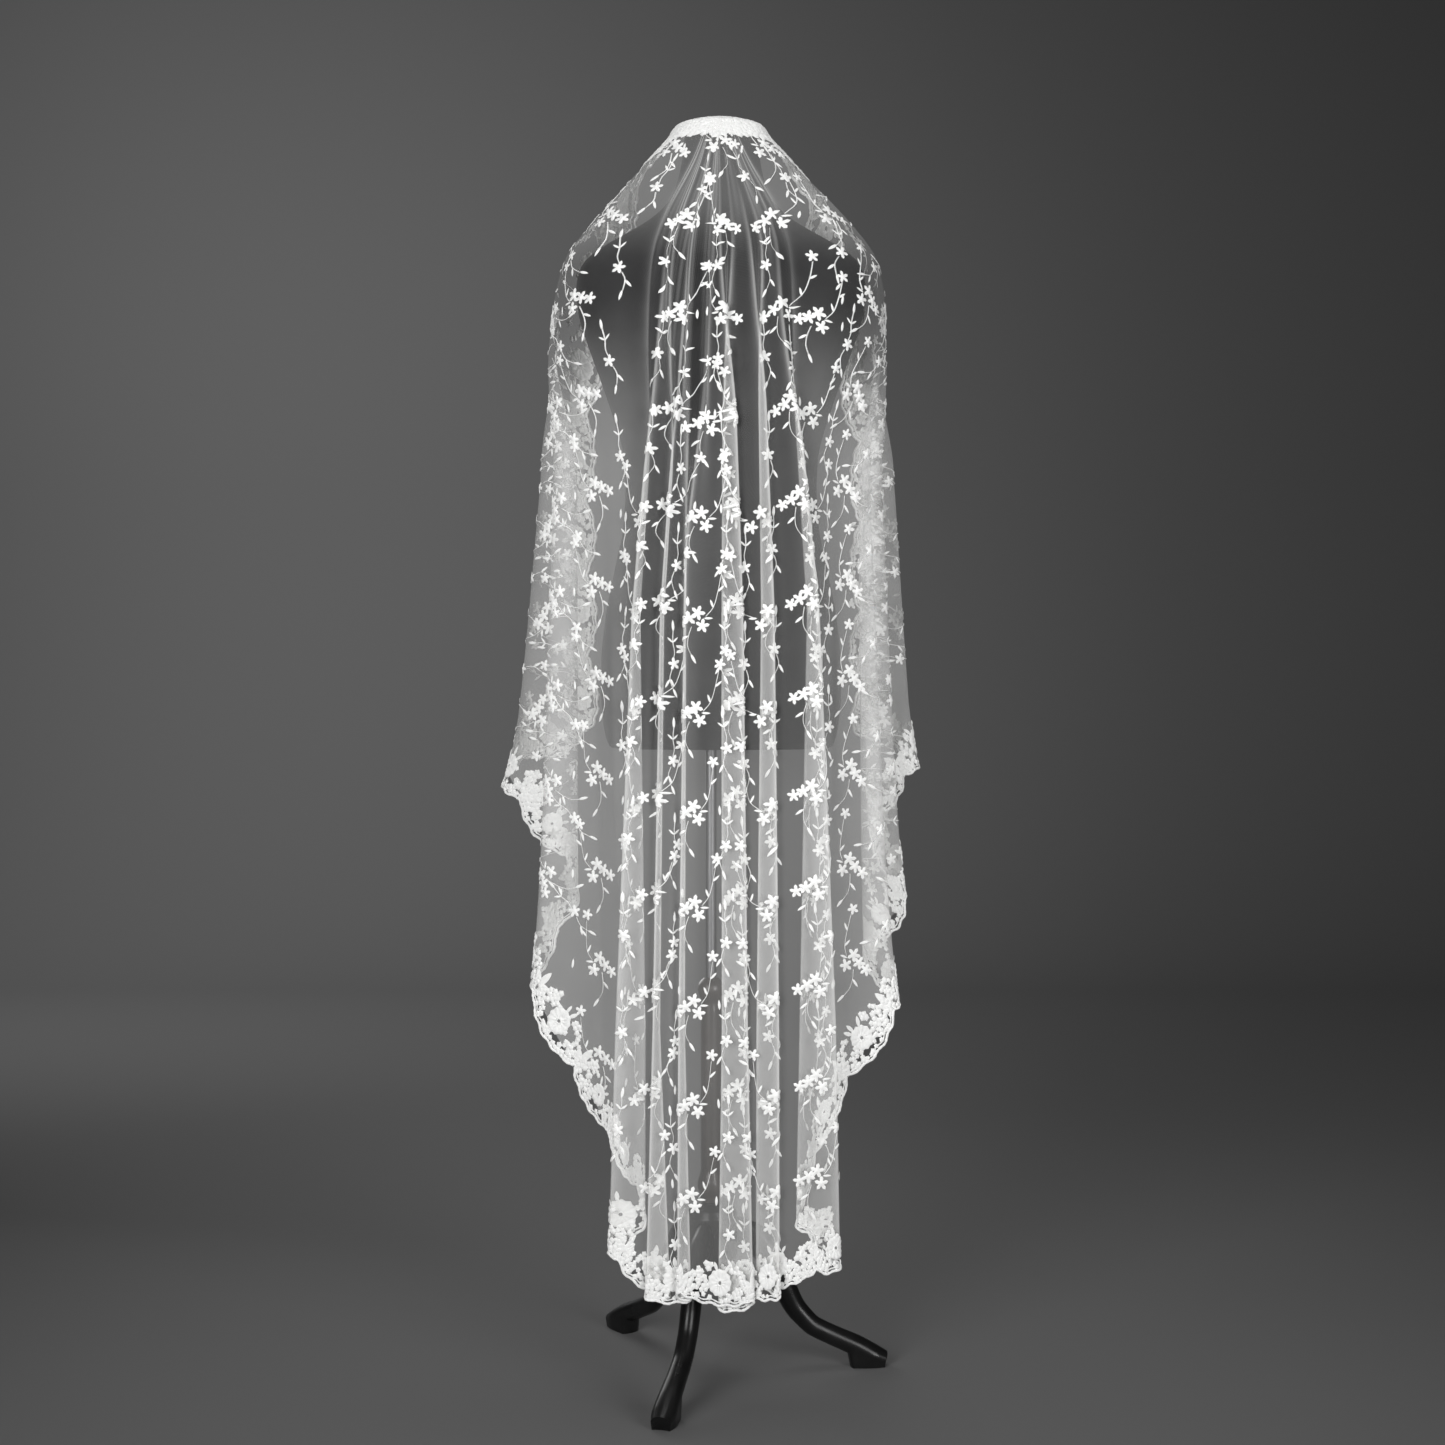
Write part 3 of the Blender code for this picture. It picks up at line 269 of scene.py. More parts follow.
def run_of(points: Array) -> Array:
    """The length along a line of points, from its first."""
    return np.concatenate([[0.0], np.cumsum(np.linalg.norm(np.diff(points, axis=0), axis=-1))])


def read_rows(at: Array, places: Array, rows: Array) -> Array:
    """Every column of a table, read at the same places."""
    return np.stack([np.interp(at, places, column) for column in rows.T], axis=-1)


def ring_value(name: str, height: Array) -> Array:
    """A size of the ring, read at any height and eased over a few centimetres.

    Args:
        name: The field of Ring to read.
        height: Heights in metres.

    Returns:
        The size at each height.
    """
    heights = [ring.height for ring in reversed(RINGS)]
    values = [getattr(ring, name) for ring in reversed(RINGS)]
    ease = DRAPE.section_ease
    near = [np.interp(height + shift, heights, values) for shift in (-ease, 0.0, ease)]
    return 0.25 * near[0] + 0.5 * near[1] + 0.25 * near[2]


def ring_back_y(x: Array, height: Array) -> Array:
    """Finds how far back the ring lies.

    Args:
        x: Places across.
        height: Heights in metres.

    Returns:
        The y of each.
    """
    share = np.abs(x - ring_value("centre_x", height)) / ring_value("half_width", height)
    bow = 1.0 - np.clip(share, 0.0, DRAPE.ring_widest) ** DRAPE.ring_power
    return -ring_value("back", height) * bow ** (1.0 / DRAPE.ring_power)


def ring_angle(x: float, height: float) -> float:
    """The angle from the back, in degrees, at which the ring has an x."""
    share = (x - ring_value("centre_x", height)) / ring_value("half_width", height)
    return math.degrees(math.asin(float(share)))


def ring_point(angle: Array, height: Array) -> tuple[Array, Array]:
    """Finds places on the ring. Near the neck the cloth reaches less far round.

    Args:
        angle: Angles from the back, in degrees.
        height: Heights in metres.

    Returns:
        The x and the y of each.
    """
    grown = soft_step((DRAPE.rim - height) / DRAPE.rim_turn_drop)
    turn = np.radians(angle * (DRAPE.rim_turn + (1.0 - DRAPE.rim_turn) * grown))
    sine, cosine = np.sin(turn), np.cos(turn)
    behind = cosine > 0.0
    depth = np.where(behind, -ring_value("back", height), ring_value("front", height))
    bow = np.clip(1.0 - np.abs(sine) ** DRAPE.ring_power, 0.0, 1.0) ** (1.0 / DRAPE.ring_power)
    x = ring_value("centre_x", height) + ring_value("half_width", height) * sine
    return x, depth * np.where(behind, bow, np.abs(cosine))


@dataclass(frozen=True)
class ControlLine:
    """One line that the cloth's section is drawn through, from the crown to the hem."""

    angle: float
    hem: float
    start: float
    full: float
    middles: tuple[float, ...] = (0.0, 0.0, 0.0, 0.0)
    widths: tuple[float, ...] = (0.0, 0.0, 0.0, 0.0)
    side: float = 0.0
    offset: float = 0.0
    on_back: float = 0.0
    x_high: float = 0.0
    x_low: float = 0.0
    y: float = 0.0


def control_lines() -> list[ControlLine]:
    """Lists the control lines from the left front edge round the back to the right front edge.

    Returns:
        The lines.
    """

    def at_side(row: SideLine) -> ControlLine:
        """A fold line of a side cascade."""
        return ControlLine(row.angle, row.hem, DRAPE.fold_start, DRAPE.fold_full,
                           x_high=row.x_high, x_low=row.x_low, y=row.y)

    lines = [at_side(row) for row in LEFT_LINES]
    last = len(DRAPE.layers) - 1
    for number, pleat in enumerate(PLEATS):
        for place, layer in enumerate(DRAPE.layers):
            spread = (place - last / 2.0) * DRAPE.top_spacing
            lines.append(ControlLine(
                ring_angle(pleat.gathered + spread, TRACK_HEIGHTS[0]),
                pleat.hem_first + (pleat.hem_last - pleat.hem_first) * place / last,
                pleat.start, pleat.start - DRAPE.pleat_reach, pleat.middles, pleat.widths,
                1.0 if layer > 0.0 else -1.0, pleat.turn * layer * pleat.depth, 1.0))
        if number + 1 < len(PLEATS):
            after = PLEATS[number + 1]
            middles = tuple((a + wa / 2.0 + b - wb / 2.0) / 2.0 for a, wa, b, wb in
                            zip(pleat.middles, pleat.widths, after.middles, after.widths))
            valley = 0.0 if pleat.turn == after.turn else -DRAPE.gap_valley * pleat.depth
            lines.append(ControlLine(
                ring_angle((pleat.gathered + after.gathered) / 2.0, TRACK_HEIGHTS[0]),
                (pleat.hem_last + after.hem_first) / 2.0 + DRAPE.gap_rise,
                DRAPE.gap_start, DRAPE.gap_full, middles, offset=valley, on_back=1.0))
    return lines + [at_side(row) for row in RIGHT_LINES]


class Drape:
    """The veil's middle surface: u runs across it and v from its front edge down to the hem."""

    def __init__(self) -> None:
        """Reads the control lines into arrays."""
        lines = control_lines()
        self.count = len(lines)
        names = ("angle", "hem", "start", "full", "middles", "widths", "side", "offset", "on_back",
                 "x_high", "x_low", "y")
        self.values = {name: np.array([getattr(line, name) for line in lines], float)
                       for name in names}
        self.values["pleat"] = self.values["side"] ** 2

    def spline(self, u: Array) -> list[tuple[Array, Array]]:
        """Finds the four control lines that act at each u.

        Args:
            u: Places across the cloth.

        Returns:
            The number of each line and its weight.
        """
        place = np.clip(u, 0.0, 1.0) * (self.count + 1)
        span = np.minimum(np.floor(place).astype(int), self.count)
        t = place - span
        weights = ((1.0 - t) ** 3 / 6.0, (3.0 * t**3 - 6.0 * t**2 + 4.0) / 6.0,
                   (-3.0 * t**3 + 3.0 * t**2 + 3.0 * t + 1.0) / 6.0, t**3 / 6.0)
        return [(np.clip(span - 2 + i, 0, self.count - 1), weights[i]) for i in range(4)]

    def blended(self, name: str, u: Array) -> Array:
        """A value that each control line has, read at u."""
        return sum(weight * self.values[name][line] for line, weight in self.spline(u))

    def track(self, line: Array, height: Array) -> tuple[Array, Array]:
        """Where a control line hangs once it has left the ring.

        Args:
            line: Numbers of control lines.
            height: A height for each.

        Returns:
            The x and the y of each.
        """
        value = self.values
        order = np.array(TRACK_HEIGHTS[::-1])
        place = np.interp(height, order, np.arange(len(order), dtype=float))
        low = np.clip(np.floor(place).astype(int), 0, len(order) - 2)
        share = place - low
        middles, widths = value["middles"][:, ::-1], value["widths"][:, ::-1]
        middle = middles[line, low] * (1.0 - share) + middles[line, low + 1] * share
        width = widths[line, low] * (1.0 - share) + widths[line, low + 1] * share
        back_x = middle + value["side"][line] * width / 2.0
        down = (DRAPE.fold_full - height) / (DRAPE.fold_full - value["hem"][line])
        down = np.clip(down, 0.0, DRAPE.below_hem)
        flare = DRAPE.steady * down + (1.0 - DRAPE.steady) * down**DRAPE.flare
        side_x = value["x_high"][line] + (value["x_low"][line] - value["x_high"][line]) * flare
        on_back = value["on_back"][line]
        x = on_back * back_x + (1.0 - on_back) * side_x
        return x, on_back * ring_back_y(back_x, height) + (1.0 - on_back) * value["y"][line]

    def at_height(self, u: Array, height: Array) -> Array:
        """Finds points of the cloth below the neck's rim.

        Args:
            u: Places across the cloth.
            height: Heights in metres.

        Returns:
            The points.
        """
        u, height = np.broadcast_arrays(u, height)
        ring_x, ring_y = ring_point(self.blended("angle", u), height)
        value = self.values
        x, y, folded = np.zeros(u.shape), np.zeros(u.shape), np.zeros(u.shape)
        for line, weight in self.spline(u):
            reach = np.maximum(value["start"][line] - value["full"][line], DRAPE.least_reach)
            share = weight * soft_step((value["start"][line] - height) / reach)
            track_x, track_y = self.track(line, height)
            lead = value["start"][line] + DRAPE.pleat_lead - height
            x += share * track_x
            grown = soft_step(lead / DRAPE.pleat_growth)
            y += share * track_y - weight * grown * value["offset"][line]
            folded += share
        return np.stack([x + (1.0 - folded) * ring_x, y + (1.0 - folded) * ring_y, height], axis=-1)

    def crown(self, u: Array, share: Array) -> Array:
        """Lays the cloth over the top of the neck.

        Args:
            u: Places across the cloth.
            share: 0 at the front edge and 1 at the rim.

        Returns:
            The points.
        """
        turn = self.blended("angle", u) / DRAPE.front_angle * math.pi / 2.0
        centre = ring_value("centre_x", np.full_like(turn, DRAPE.rim))
        forward = DRAPE.crown_forward - DRAPE.crown_side_forward
        arch = np.stack([
            centre + DRAPE.crown_half_width * np.sin(turn),
            DRAPE.crown_side_forward + forward * np.cos(turn),
            DRAPE.rim + DRAPE.crown_lift + DRAPE.crown_rise * np.cos(turn),
        ], axis=-1)
        rim = self.at_height(u, np.full_like(turn, DRAPE.rim))
        point = (1.0 - share[..., None]) * arch + share[..., None] * rim
        point[..., 2] += DRAPE.crown_bulge * np.sin(math.pi * share) * np.cos(turn)
        return point

    def point(self, u: Array, v: Array) -> Array:
        """Finds points of the cloth.

        Args:
            u: Places across the cloth.
            v: Places down it, from 0 at the front edge to 1 at the hem.

        Returns:
            The points.
        """
        u, v = np.broadcast_arrays(np.asarray(u, float), np.asarray(v, float))
        over = self.crown(u, np.clip(v / DRAPE.crown_share, 0.0, 1.0))
        down = np.clip((v - DRAPE.crown_share) / (1.0 - DRAPE.crown_share), 0.0, None)
        height = DRAPE.rim - (DRAPE.rim - self.blended("hem", u)) * down
        return np.where((v < DRAPE.crown_share)[..., None], over, self.at_height(u, height))

    SAMPLES = 3000
    HEM_STEP = 0.021
    LEVELS = (0.80, 0.30)
    TURN_STEP = math.radians(38)

    def columns(self, count: int) -> Array:
        """The u of columns that stand closer together where the cloth turns.

        Args:
            count: How many columns to make.

        Returns:
            Their u, from 0 to 1.
        """
        u = np.linspace(0.0, 1.0, self.SAMPLES)
        hem = self.point(u, np.ones_like(u))
        needs = np.linalg.norm(np.diff(hem, axis=0), axis=-1) / self.HEM_STEP
        for height in self.LEVELS:
            level = self.at_height(u, np.maximum(height, self.blended("hem", u)))
            heading = np.unwrap(np.arctan2(np.diff(level[:, 1]), np.diff(level[:, 0])))
            needs = np.maximum(needs, np.abs(np.gradient(heading)) / self.TURN_STEP)
        measure = np.concatenate([[0.0], np.cumsum(needs)])
        return np.interp(np.linspace(0.0, measure[-1], count), measure, u)


class Cloth:
    """The draped cloth as a fine grid, and the flat cut that it was made from.

    The cut is laid out as straight runs down the cloth that fan out from the front edge, so a place
    in the cut and a place on the drape are a known length apart from the same edge.
    """

    COLUMNS = 1500
    ROWS = 300
    CROWN_ROWS, SHOULDER_ROWS, SHOULDER_FOOT = 22, 60, 0.20
    OVERHANG = 1.02
    RIDGE_POWER = 0.7
    WANDER, WANDER_RATE = 0.12, 9.0
    SWELL, SWELL_RATE = 0.2, 17.0
    SHARP_TURN, LEAST_STEP = 260.0, 2e-4
    SIDE_PACKING = 1.5
    NECK_PACKING, NECK_FOOT, NECK_EASE = 0.80, 1.36, 0.09
    FOOT_PACKING, FOOT_TOP, FOOT_EASE = 0.20, 0.80, 0.10
    MEASURED_ROWS = (0.45, 0.95)
    LENGTH_SHARES = 400
    HALVINGS = 26
    AXIS_STEP = 0.008
    LONG_LIMITS, WIDE_LIMITS, SLIP_LIMIT = (0.65, 1.5), (0.6, 1.6), 0.8
    EDGE_ROWS, EDGE_STEP = 500, 0.002

    def __init__(self, drape: Drape, pole: Vector) -> None:
        """Measures the drape.

        Args:
            drape: The veil's surface round a pole at the origin.
            pole: Where the stand's pole is.
        """
        self.u = drape.columns(self.COLUMNS)
        self.v = self.row_values()
        points = drape.point(self.u[None, :], self.v[:, None]) + np.array([pole.x, pole.y, 0.0])
        points += self.normals_of(points) * self.relief(points, drape)[..., None]
        self.points = points
        self.normals = self.normals_of(points)
        self.fold = self.turns(points)
        self.dense = self.packing(points[..., 2], drape)
        self.angle = drape.blended("angle", self.u)
        self.length = np.concatenate([np.zeros((1, self.COLUMNS)), np.cumsum(
            np.linalg.norm(np.diff(points, axis=0), axis=-1), axis=0)])
        edge = run_of(points[0])
        self.start = edge - edge[-1] / 2.0
        self.heading = self.fan(points)
        self.places = self.place_table()

    def row_values(self) -> Array:
        """Spaces the rows, closer together over the crown and the shoulders.

        Returns:
            The v of each row.
        """
        crown = np.linspace(0.0, DRAPE.crown_share, self.CROWN_ROWS)[:-1]
        shoulder = np.linspace(DRAPE.crown_share, self.SHOULDER_FOOT, self.SHOULDER_ROWS)[:-1]
        left = self.ROWS - len(crown) - len(shoulder)
        rest = np.linspace(self.SHOULDER_FOOT, self.OVERHANG, left)
        return np.concatenate([crown, shoulder, rest])

    @staticmethod
    def normals_of(points: Array) -> Array:
        """The unit vectors out of a grid's face, away from the form."""
        return unit(np.cross(np.gradient(points, axis=0), np.gradient(points, axis=1)))

    def relief(self, points: Array, drape: Drape) -> Array:
        """Works out how far the creases lift the cloth out of the drape.

        Args:
            points: The drape's points.
            drape: The veil's surface.

        Returns:
            The lift of each point.
        """
        line = self.u[None, :] * (drape.count + 1) - 1.0
        height = points[..., 2]
        lift = np.zeros(height.shape)
        for crease in CREASES:
            along = np.clip((crease.top - height) / (crease.top - crease.foot), 0.0, 1.0)
            middle = crease.line_top + (crease.line_foot - crease.line_top) * along
            wander = np.sin(self.WANDER_RATE * height + crease.line_top)
            middle = middle + self.WANDER * crease.width * wander
            swell = self.SWELL * np.sin(self.SWELL_RATE * height + crease.width)
            strength = np.sin(math.pi * along) ** self.RIDGE_POWER * (1.0 - self.SWELL + swell)
            lift += crease.depth * strength * np.exp(-(((line - middle) / crease.width) ** 2))
        return lift

    @classmethod
    def turns(cls, points: Array) -> Array:
        """Measures how sharply the cloth turns across its runs.

        Args:
            points: The cloth's points.

        Returns:
            A value for each point, from 0 on a flat run to 1 on a sharp fold.
        """
        heading = unit(np.diff(points, axis=1))
        step = np.linalg.norm(np.diff(points, axis=1), axis=-1)
        bend = np.arccos(np.clip((heading[:, 1:] * heading[:, :-1]).sum(-1), -1.0, 1.0))
        tight = bend / np.maximum(step[:, 1:] + step[:, :-1], cls.LEAST_STEP) * 2.0
        tight = np.pad(tight, ((0, 0), (1, 1)), mode="edge")
        kernel = np.array([1.0, 2.0, 3.0, 2.0, 1.0]) / 9.0
        soft = np.apply_along_axis(lambda row: np.convolve(row, kernel, mode="same"), 1, tight)
        return np.clip(soft / cls.SHARP_TURN, 0.0, 1.0)

    def packing(self, height: Array, drape: Drape) -> Array:
        """Works out how closely the cloth is packed, which makes its net look denser.

        Args:
            height: The height of each point.
            drape: The veil's surface.

        Returns:
            A value for each point: 0 in a single layer, 1 in a pleat, more in a cascade.
        """
        u = self.u[None, :]
        folded = np.zeros(height.shape)
        for line, weight in drape.spline(u):
            start, full = drape.values["start"][line], drape.values["full"][line]
            reach = np.maximum(start - full, DRAPE.least_reach)
            folded += weight * soft_step((start - height) / reach)
        sides = 1.0 - drape.blended("on_back", u)
        gathered = self.NECK_PACKING * soft_step((height - self.NECK_FOOT) / self.NECK_EASE)
        low = self.FOOT_PACKING * soft_step((self.FOOT_TOP - height) / self.FOOT_EASE)
        return gathered + low + folded * (drape.blended("pleat", u) + self.SIDE_PACKING * sides)

    def fan(self, points: Array) -> Array:
        """Opens the runs down the flat cut, so that the cloth between two of them keeps its width.

        Args:
            points: The cloth's points.

        Returns:
            The heading of each run, in radians.
        """
        down = unit(np.gradient(points, axis=0))[:, :-1]
        step = np.diff(points, axis=1)
        square = np.linalg.norm(step - (step * down).sum(-1, keepdims=True) * down, axis=-1)
        rows = slice(*(int(share * self.ROWS) for share in self.MEASURED_ROWS))
        opened = np.median(square[rows] / self.length[rows, :-1], axis=0)
        heading = np.concatenate([[0.0], np.cumsum(opened)])
        LOG.info("the cut fans out over %.1f degrees", math.degrees(heading[-1]))
        return heading - np.interp(0.0, self.start, heading)

    def place_table(self) -> Array:
        """The row number of each share of the length down each column."""
        shares, rows = np.linspace(0.0, 1.0, self.LENGTH_SHARES), np.arange(self.ROWS, dtype=float)
        return np.stack([np.interp(shares * run[-1], run, rows) for run in self.length.T], axis=1)

    @staticmethod
    def sampled(grid: Array, row: Array, column: Array) -> Array:
        """Reads a grid between its rows and columns.

        Args:
            grid: A value or a vector for each row and column.
            row: Row numbers that may lie between two.
            column: Column numbers that may lie between two.

        Returns:
            The grid's value at each place.
        """
        r = np.clip(np.floor(row).astype(int), 0, grid.shape[0] - 2)
        c = np.clip(np.floor(column).astype(int), 0, grid.shape[1] - 2)
        a, b = np.clip(row - r, 0.0, 1.0), np.clip(column - c, 0.0, 1.0)
        if grid.ndim == 3:
            a, b = a[..., None], b[..., None]
        top = grid[r, c] * (1.0 - b) + grid[r, c + 1] * b
        foot = grid[r + 1, c] * (1.0 - b) + grid[r + 1, c + 1] * b
        return top * (1.0 - a) + foot * a

    def run_at(self, column: Array) -> tuple[Array, Array]:
        """Where a column's run starts along the front edge, and its heading in the flat cut."""
        number = np.arange(self.COLUMNS)
        return np.interp(column, number, self.start), np.interp(column, number, self.heading)

    def flat(self, row: Array, column: Array) -> Array:
        """Finds where places of the grid lie in the flat cut.

        Args:
            row: Row numbers that may lie between two.
            column: Column numbers that may lie between two.

        Returns:
            x and y in the cut, in metres.
        """
        start, heading = self.run_at(column)
        length = self.sampled(self.length, row, column)
        return np.stack([start + length * np.sin(heading), length * np.cos(heading)], axis=-1)

    def place(self, flat: Array) -> tuple[Array, Array]:
        """The row and column of places of the flat cut.

        Args:
            flat: x and y in the cut, in metres.

        Returns:
            The row and the column of each, as numbers that may lie between two.
        """
        low = np.zeros(flat.shape[:-1])
        high = np.full(flat.shape[:-1], self.COLUMNS - 1.0)
        for _ in range(self.HALVINGS):
            middle = (low + high) / 2.0
            start, heading = self.run_at(middle)
            beyond = (flat[..., 0] - start) * np.cos(heading) - flat[..., 1] * np.sin(heading) > 0.0
            low, high = np.where(beyond, middle, low), np.where(beyond, high, middle)
        start, heading = self.run_at(low)
        length = (flat[..., 0] - start) * np.sin(heading) + flat[..., 1] * np.cos(heading)
        whole = np.interp(low, np.arange(self.COLUMNS), self.length[-1])
        share = np.clip(length / whole, 0.0, 1.0) * (len(self.places) - 1)
        return self.sampled(self.places, share, low), low

    def laid(self, flat: Array, lift: Array) -> Array:
        """Lays places of the flat cut on the drape.

        Args:
            flat: x and y in the cut.
            lift: How far each place stands off the cloth's outer face.

        Returns:
            Their points.
        """
        row, column = self.place(flat)
        out = unit(self.sampled(self.normals, row, column))
        return self.sampled(self.points, row, column) + lift[..., None] * out

    def true_axes(self, flat: Array) -> Array:
        """The flat steps that become one metre across and one metre down on the drape.

        Args:
            flat: x and y in the cut.

        Returns:
            For each place, a matrix whose columns are those two steps.
        """
        step, none = self.AXIS_STEP, np.zeros(len(flat))
        sides = [self.laid(flat + shift, none)
                 for shift in ((step, 0.0), (-step, 0.0), (0.0, step), (0.0, -step))]
        across, down = (sides[0] - sides[1]) / (2.0 * step), (sides[2] - sides[3]) / (2.0 * step)
        long = np.clip(np.linalg.norm(down, axis=-1), *self.LONG_LIMITS)
        shared = (across * down).sum(-1) / long**2
        square = np.linalg.norm(across - shared[:, None] * down, axis=-1)
        square = np.clip(square, *self.WIDE_LIMITS)
        slip = np.clip(-shared / square, -self.SLIP_LIMIT, self.SLIP_LIMIT)
        return np.stack([np.stack([1.0 / square, slip], axis=-1),
                         np.stack([none, 1.0 / long], axis=-1)], axis=-1)

    def row_of(self, v: float) -> float:
        """The row number of a v."""
        return float(np.interp(v, self.v, np.arange(self.ROWS, dtype=float)))

    @cached_property
    def outline(self) -> Array:
        """Traces the flat cut's edge, from the left corner over the crown and round to the hem.

        Returns:
            Points of the line, evenly spaced.
        """
        rows = np.linspace(self.row_of(1.0), 0.0, self.EDGE_ROWS)
        columns = np.arange(self.COLUMNS, dtype=float)
        left = self.flat(rows, np.zeros_like(rows))
        crown = self.flat(np.zeros_like(columns), columns)
        right = self.flat(rows[::-1], np.full_like(rows, self.COLUMNS - 1.0))
        hem = self.flat(np.full_like(columns, rows[0]), columns[::-1])
        closed = np.concatenate([left, crown[1:], right[1:], hem[1:-1], left[:1]])
        length = run_of(closed)
        even = np.linspace(0.0, length[-1], int(length[-1] / self.EDGE_STEP), endpoint=False)
        return read_rows(even, length, closed)

    @cached_property
    def cut_area(self) -> float:
        """The flat cut's area."""
        x, y = self.outline.T
        return float(abs(np.sum(x * np.roll(y, -1) - y * np.roll(x, -1))) / 2.0)


# ---------------------------------------------------------------- meshes and node trees


def new_mesh(name: str, points: Array, faces: Iterable[Sequence[int]]) -> Mesh:
    """Makes a mesh.

    Args:
        name: Its name.
        points: x, y and z of each point.
        faces: The point numbers of each face.

    Returns:
        The mesh.
    """
    mesh = bpy.data.meshes.new(name)
    corners = [tuple(map(int, face)) for face in faces]
    mesh.from_pydata(np.asarray(points, float).tolist(), [], corners)
    mesh.update()
    return mesh


def new_object(name: str, mesh: Mesh) -> Object:
    """Puts a mesh in the scene.

    Args:
        name: The object's name.
        mesh: Its mesh.

    Returns:
        The object.
    """
    thing = bpy.data.objects.new(name, mesh)
    bpy.context.scene.collection.objects.link(thing)
    return thing


def grid_faces(rows: int, columns: int, first: int = 0, closed: bool = False) -> Array:
    """The four-sided faces of a grid of points.

    Args:
        rows: Rows of points.
        columns: Columns of points.
        first: The number of the grid's first point.
        closed: Whether the last column joins the first.

    Returns:
        One face to a line, as point numbers.
    """
    last = columns if closed else columns - 1
    r, c = np.meshgrid(np.arange(rows - 1), np.arange(last), indexing="ij")
    after = (c + 1) % columns
    ring = np.stack([r * columns + c, (r + 1) * columns + c, (r + 1) * columns + after,
                     r * columns + after], axis=-1)
    return ring.reshape(-1, 4) + first


def attribute(mesh: Mesh, name: str, values: Array) -> None:
    """Gives a mesh's points a named value each."""
    made = mesh.attributes.new(name, "FLOAT", "POINT")
    made.data.foreach_set("value", np.ascontiguousarray(values, float).ravel())


def uv_from_points(mesh: Mesh, flat: Array) -> None:
    """Gives a mesh a UV map.

    Args:
        mesh: The mesh.
        flat: The flat place of each point, in metres.
    """
    layer = mesh.uv_layers.new(name="cut")
    corners = np.empty(len(mesh.loops), np.int32)
    mesh.loops.foreach_get("vertex_index", corners)
    layer.data.foreach_set("uv", np.ascontiguousarray(flat[corners], float).ravel())


def points_of(mesh: Mesh) -> Array:
    """Reads a mesh's points.

    Args:
        mesh: The mesh.

    Returns:
        x, y and z of each.
    """
    points = np.empty(len(mesh.vertices) * 3, np.float32)
    mesh.vertices.foreach_get("co", points)
    return points.reshape(-1, 3).astype(float)


def move_points(mesh: Mesh, points: Array) -> Mesh:
    """Moves a mesh's points.

    Args:
        mesh: The mesh.
        points: The new place of each point.

    Returns:
        The same mesh.
    """
    mesh.vertices.foreach_set("co", np.ascontiguousarray(points, np.float32).ravel())
    mesh.update()
    return mesh


def map_grain(mesh: Mesh) -> None:
    """Gives thread work a UV map that its grain lies on, close enough at that scale."""
    points = points_of(mesh)
    uv_from_points(mesh, np.column_stack([points[:, 0] + 0.7 * points[:, 1], points[:, 2]]))


class Socket(Enum):
    """The kinds of socket that the node trees use."""

    VALUE = "NodeSocketFloat"
    VECTOR = "NodeSocketVector"
    GEOMETRY = "NodeSocketGeometry"
    OBJECT = "NodeSocketObject"
    MATERIAL = "NodeSocketMaterial"
    WHOLE = "NodeSocketInt"


@dataclass
class Tree:
    """A node tree with short ways to add and join nodes."""

    tree: NodeTree

    def add(self, kind: str, settings: dict | None = None, **inputs: object) -> Node:
        """Adds a node.

        Args:
            kind: Blender's name for the node.
            settings: Values for the node's own properties.
            **inputs: A socket or a value for each input, its spaces written as underscores.

        Returns:
            The node.
        """
        node = self.tree.nodes.new(kind)
        for key, value in (settings or {}).items():
            setattr(node, key, value)
        for key, value in inputs.items():
            by_number = key[1:].isdigit()
            socket = node.inputs[int(key[1:]) if by_number else key.replace("_", " ")]
            if isinstance(value, NodeSocket):
                self.tree.links.new(value, socket)
            else:
                socket.default_value = value
        return node

    def math(self, operation: str, first: object, second: object, third: object = 0.0,
             clamp: bool = False) -> NodeSocket:
        """The output of a Math node."""
        settings = {"operation": operation, "use_clamp": clamp}
        return self.add("ShaderNodeMath", settings, i0=first, i1=second, i2=third).outputs[0]

    def group(self, tree: NodeTree, **inputs: object) -> NodeSocket:
        """The output of a shared shader group."""
        return self.add("ShaderNodeGroup", {"node_tree": tree}, **inputs).outputs[0]

    def carried(self, name: str) -> NodeSocket:
        """A value that the points carry."""
        node = self.add("GeometryNodeInputNamedAttribute", {"data_type": "FLOAT"}, Name=name)
        return node.outputs["Attribute"]

    def link(self, output: NodeSocket, target: NodeSocket) -> None:
        """Joins an output to an input."""
        self.tree.links.new(output, target)

    def dressed(self, geometry: NodeSocket, thread: NodeSocket,
                out: Node) -> NodeTree:
        """Ends a geometry tree.

        Args:
            geometry: What the tree has made.
            thread: The finish that it gets.
            out: The tree's output node.

        Returns:
            The tree.
        """
        real = self.add("GeometryNodeRealizeInstances", Geometry=geometry)
        finish = self.add("GeometryNodeSetMaterial", Geometry=real.outputs[0], Material=thread)
        self.link(finish.outputs[0], out.inputs[0])
        return self.tree


